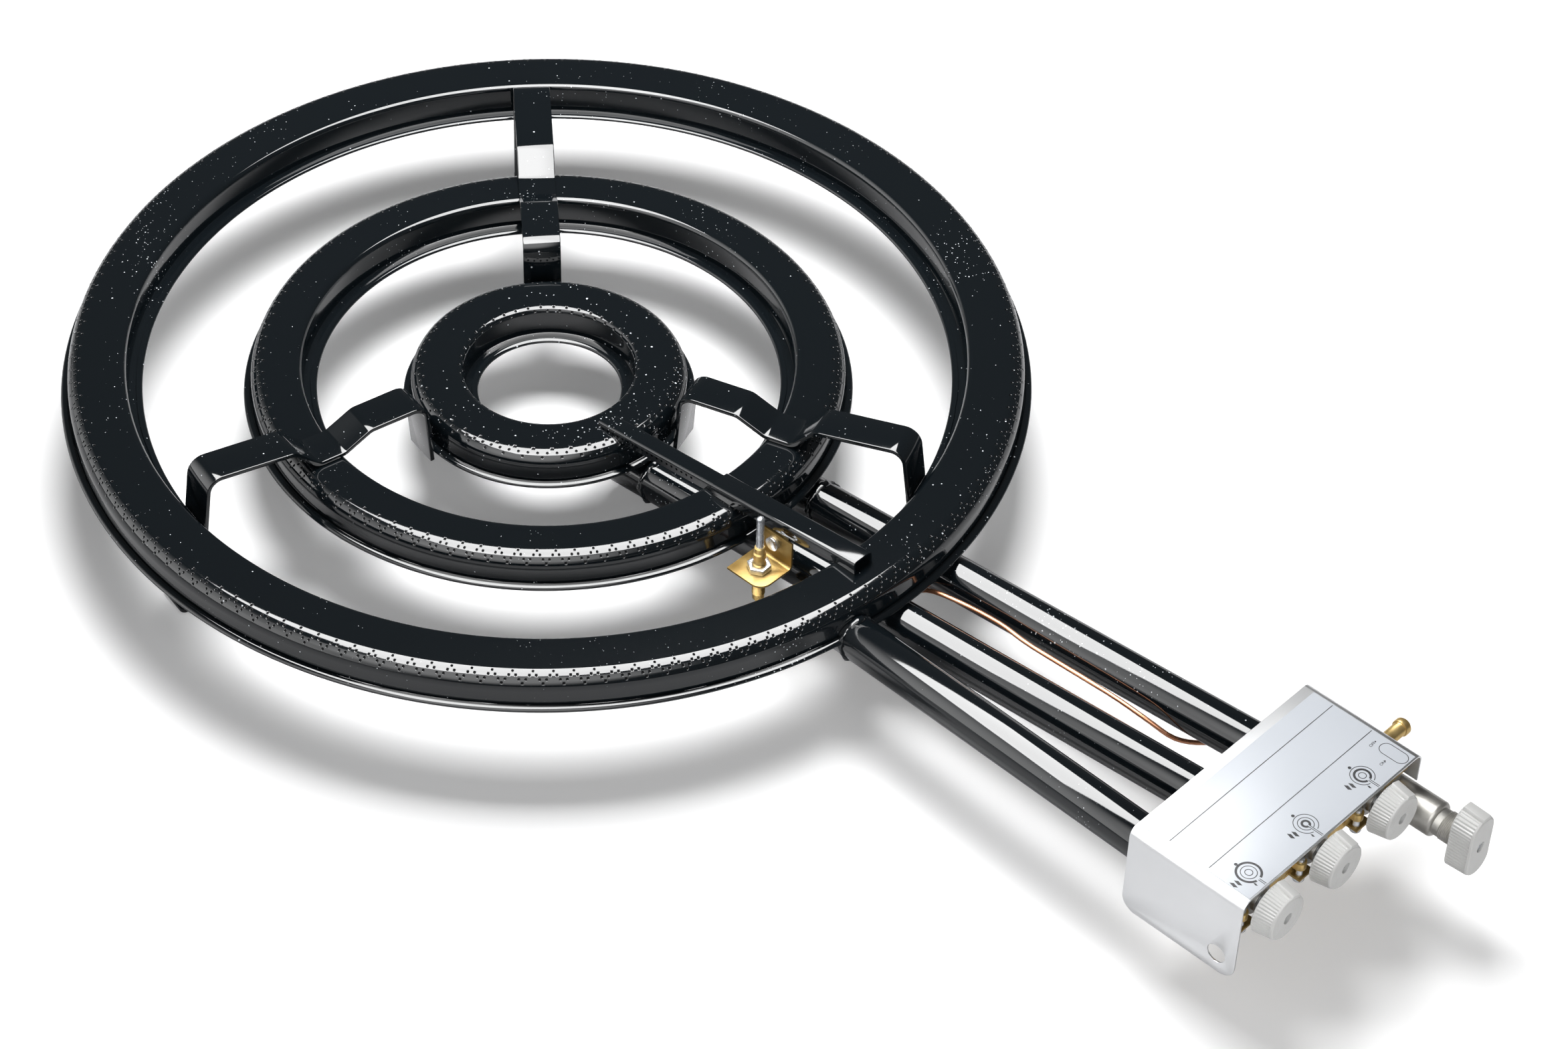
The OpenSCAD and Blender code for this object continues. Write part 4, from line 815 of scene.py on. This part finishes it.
# Taps: a square brass manifold bar with three brass taps clamped to it by small plated plates.
# Each tap ends at the back in an injector that blows into its tube.
finishes["nickel"] = worked_finish(
    "dull_nickel", ((0.34, 0.33, 0.31), (0.50, 0.49, 0.46)),
    rough=(0.3, 0.45), metallic=0.8, grain=1200.0, patches=70.0, relief=0.04 * MM)
for tap_piece in ("manifold", "manifold_plug",
                  "left_tap_body", "middle_tap_body", "right_tap_body", "injectors"):
    dress(tap_piece, edge=0.4 * MM)
for small_piece in ("clamp_plates", "clamp_bolts", "tap_fronts"):
    dress(small_piece, edge=0.25 * MM)

# Tap spindles and knobs: moulded grey plastic knobs with fine ribs and a pointer, each held on its
# spindle by a cross-recess screw. A collar behind each takes the push that frees the tap.
finishes["knob_plastic"] = worked_finish(
    "knob_grey", ((0.53, 0.53, 0.52), (0.59, 0.59, 0.58)),
    rough=(0.38, 0.48), metallic=0.0, grain=1400.0, patches=45.0, relief=0.02 * MM)
recess_arm = 2.0 * MM
recess_slot = recess_arm * 0.28
recess_depth = 1.3 * MM
recess_taper = 0.6


def front_middle(node_name):
    """The middle of the front of a CAD piece's box."""
    low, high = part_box(node_name)
    return Vector(((low[0] + high[0]) / 2, low[1], (low[2] + high[2]) / 2))


def knob_screw(node_name, body):
    """The screw that holds a knob, with a cross cut into its head."""
    screw = dress(node_name, edge=0.25 * MM, body=body)
    head = front_middle(node_name)
    cutters = []
    for wide, tall in ((recess_arm, recess_slot), (recess_slot, recess_arm)):
        bpy.ops.object.select_all(action="DESELECT")
        bpy.ops.mesh.primitive_cube_add(size=2)
        cutter = bpy.context.object
        for vertex in cutter.data.vertices:
            across, inward, up = vertex.co
            taper = 1.0 if inward < 0 else recess_taper
            vertex.co = head + Vector((across * wide * taper, inward * recess_depth, up * tall * taper))
        cutters.append(cutter)
    for cutter in cutters:
        cut = screw.modifiers.new("recess", "BOOLEAN")
        cut.object = cutter
        cut.operation = "DIFFERENCE"
        bpy.ops.object.select_all(action="DESELECT")
        bpy.context.view_layer.objects.active = screw
        screw.select_set(True)
        bpy.ops.object.modifier_apply(modifier=cut.name)
    for cutter in cutters:
        bpy.data.objects.remove(cutter)


mark_line = 0.45 * MM
mark_r = 9.0 * MM
mark_arcs = ((-58, 34), (-16, 26), (18, 20), (150, 30), (190, 26))
stroke_line = 0.4 * MM
stroke_from, stroke_to = 6.4 * MM, 11.0 * MM
stroke_turns = (60, 215, 262)


def face_marks(side):
    """Faint raised lines moulded on a knob's face: a broken arc and three short strokes."""
    hub = front_middle(side + "_knob_screw")
    hub.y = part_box(side + "_knob")[0][1]
    for start, sweep in mark_arcs:
        ink_arc(Vector((0, 0, 0)), mark_r, mark_line, math.radians(start), math.radians(sweep))
    for turn in stroke_turns:
        way = Vector((math.cos(math.radians(turn)), math.sin(math.radians(turn)), 0))
        ink_bar(way * stroke_from, way * stroke_to, stroke_line)
    marks = join_prints(side + "_knob_marks")
    marks.data.transform(Matrix.Translation(hub) @ Matrix.Rotation(math.pi / 2, 4, "X"))
    marks.data.materials.append(finishes["knob_plastic"])
    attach(marks, side + "_tap_turn")


BORE, PLAIN, RIBBED = range(3)
knob_ribs = 50
rib_depth = 0.5 * MM
columns_per_rib = 4
knob_smooth = 28
ridge_rear, ridge_front = 0.03, 0.985
ridge_crest, ridge_root = 1.0 * MM, -1.6 * MM
ridge_crest_half, ridge_root_half = 3.3 * MM, 4.0 * MM
ridge_edge = 0.45 * MM


def round_oblong(share, reach, radius):
    """The spine place and outward way of a point, by its share of the way round an oblong."""
    half_turn = math.pi * radius
    run = share * (4 * reach + 2 * half_turn)
    if run < reach or run > 3 * reach + 2 * half_turn:
        rise = run if run < reach else run - 4 * reach - 2 * half_turn
        return Vector((0, 0, rise)), Vector((1, 0, 0))
    if run < reach + half_turn:
        turn = (run - reach) / radius
        return Vector((0, 0, reach)), Vector((math.cos(turn), 0, math.sin(turn)))
    if run < 3 * reach + half_turn:
        return Vector((0, 0, 2 * reach + half_turn - run)), Vector((-1, 0, 0))
    turn = math.pi + (run - 3 * reach - half_turn) / radius
    return Vector((0, 0, -reach)), Vector((math.cos(turn), 0, math.sin(turn)))


def ribbed_knob(node_name, body, section, reach, ridge_turn):
    """A moulded knob: a turned section stretched to an oblong, ribbed round its side, with a pointer."""
    hub = front_middle(node_name + "_screw")
    hub.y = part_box(node_name)[1][1]
    columns = knob_ribs * columns_per_rib
    outline = [(radius * MM, height * MM, kind) for radius, height, kind in section]
    widest = max(radius for radius, height, kind in outline)
    slim = min(radius for radius, height, kind in outline if kind == RIBBED)
    depth = max(height for radius, height, kind in outline)
    turned = [(radius, height) for radius, height, kind in outline]
    piece = spun_sector(node_name + "_made", turned, Vector((0, 0, 0)), columns, math.tau)
    for vertex in piece.data.vertices:
        out = math.hypot(vertex.co.x, vertex.co.y)
        up = vertex.co.z
        radius, height, kind = min(outline, key=lambda row: abs(row[0] - out) + abs(row[1] - up))
        column = round(math.atan2(vertex.co.y, vertex.co.x) / math.tau * columns) % columns
        spine, way = round_oblong(column / columns, reach, widest)
        if kind == BORE:
            spine, way = Vector((0, 0, 0)), (spine + way * widest).normalized()
        if kind == RIBBED and column % columns_per_rib >= 2:
            radius -= rib_depth
        vertex.co = hub + spine + way * radius - Vector((0, height, 0))
    close_up(piece, smooth_angle=knob_smooth)
    bpy.ops.object.select_all(action="DESELECT")
    bpy.ops.mesh.primitive_cube_add(size=2)
    ridge = bpy.context.object
    aside = Vector((math.cos(ridge_turn), 0, -math.sin(ridge_turn)))
    outward = Vector((math.sin(ridge_turn), 0, math.cos(ridge_turn)))
    for vertex in ridge.data.vertices:
        edge_x, edge_y, edge_z = vertex.co
        height = depth * (ridge_rear if edge_y > 0 else ridge_front)
        rise = (widest if edge_y > 0 else slim) + (ridge_crest if edge_z > 0 else ridge_root)
        half_width = ridge_crest_half if edge_z > 0 else ridge_root_half
        vertex.co = hub + Vector((0, -height, reach)) + outward * rise + aside * edge_x * half_width
    rounding = ridge.modifiers.new("rounded_edges", "BEVEL")
    rounding.width = ridge_edge
    rounding.segments = 2
    bpy.ops.object.modifier_apply(modifier=rounding.name)
    bpy.ops.object.shade_smooth_by_angle(angle=math.radians(knob_smooth))
    piece.select_set(True)
    bpy.context.view_layer.objects.active = piece
    bpy.ops.object.join()
    piece.data.materials.clear()
    piece.data.materials.append(finishes["knob_plastic"])
    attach(piece, body)
    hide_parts(node_name)


tap_knob = ((7.6, 0.0, BORE), (15.9, 0.0, PLAIN), (16.2, 0.3, PLAIN), (16.15, 0.8, RIBBED),
            (14.3, 10.9, RIBBED), (14.2, 11.4, PLAIN), (13.9, 12.4, PLAIN), (13.2, 13.0, PLAIN),
            (3.6, 13.0, BORE), (3.35, 12.6, BORE), (3.35, 7.7, BORE), (4.1, 7.6, BORE),
            (4.1, 3.1, BORE), (7.6, 3.0, BORE))
tap_pointer = math.radians(22)
for side in ("left", "middle", "right"):
    dress(side + "_thrust_collar", edge=0.2 * MM, body=side + "_tap_push")
    dress(side + "_spindle", edge=0.3 * MM, body=side + "_tap_turn")
    ribbed_knob(side + "_knob", side + "_tap_turn", tap_knob, reach=0.0, ridge_turn=tap_pointer)
    knob_screw(side + "_knob_screw", side + "_tap_turn")
    face_marks(side)

# Safety valve: a dull nickel body beside the taps, joined to the manifold, with a thread cut on its neck,
# a brass hose barb at its side and an oblong push knob in front, held as the others are.
for valve_piece in ("safety_valve_body", "valve_coupling", "union_nut", "hose_barb"):
    dress(valve_piece, edge=0.35 * MM)
neck_r = 8.5 * MM
neck_root = neck_r + 0.05 * MM
neck_crest = neck_r + 0.5 * MM
neck_inside = neck_r - 0.4 * MM
neck_from, neck_to = 0.8 * MM, 8.6 * MM
neck_outline = [(neck_inside, neck_from)]
neck_outline += thread_outline(neck_from, neck_to, neck_root, neck_crest, thread_pitch)
neck_outline += [(neck_inside, neck_to)]
neck_thread = lathe("valve_neck_thread", neck_outline, front_middle("safety_valve_body"), Vector((0, 1, 0)))
neck_thread.data.materials.append(finishes["nickel"])
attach(neck_thread, "burner")
dress("valve_thrust_collar", edge=0.2 * MM, body="valve_push")
dress("valve_spindle", edge=0.3 * MM, body="valve_turn")
valve_knob = ((9.4, 0.0, BORE), (10.7, 0.0, PLAIN), (11.0, 0.3, PLAIN), (10.95, 0.9, RIBBED),
              (10.4, 12.8, RIBBED), (10.3, 13.3, PLAIN), (9.9, 14.4, PLAIN), (9.1, 15.0, PLAIN),
              (3.6, 15.0, BORE), (3.35, 14.6, BORE), (3.35, 10.7, BORE), (4.1, 10.6, BORE),
              (4.1, 6.3, BORE), (9.4, 6.2, BORE))
valve_reach = 11.2 * MM
valve_pointer = math.radians(8)
ribbed_knob("valve_knob", "valve_turn", valve_knob, reach=valve_reach, ridge_turn=valve_pointer)
knob_screw("valve_knob_screw", "valve_turn")
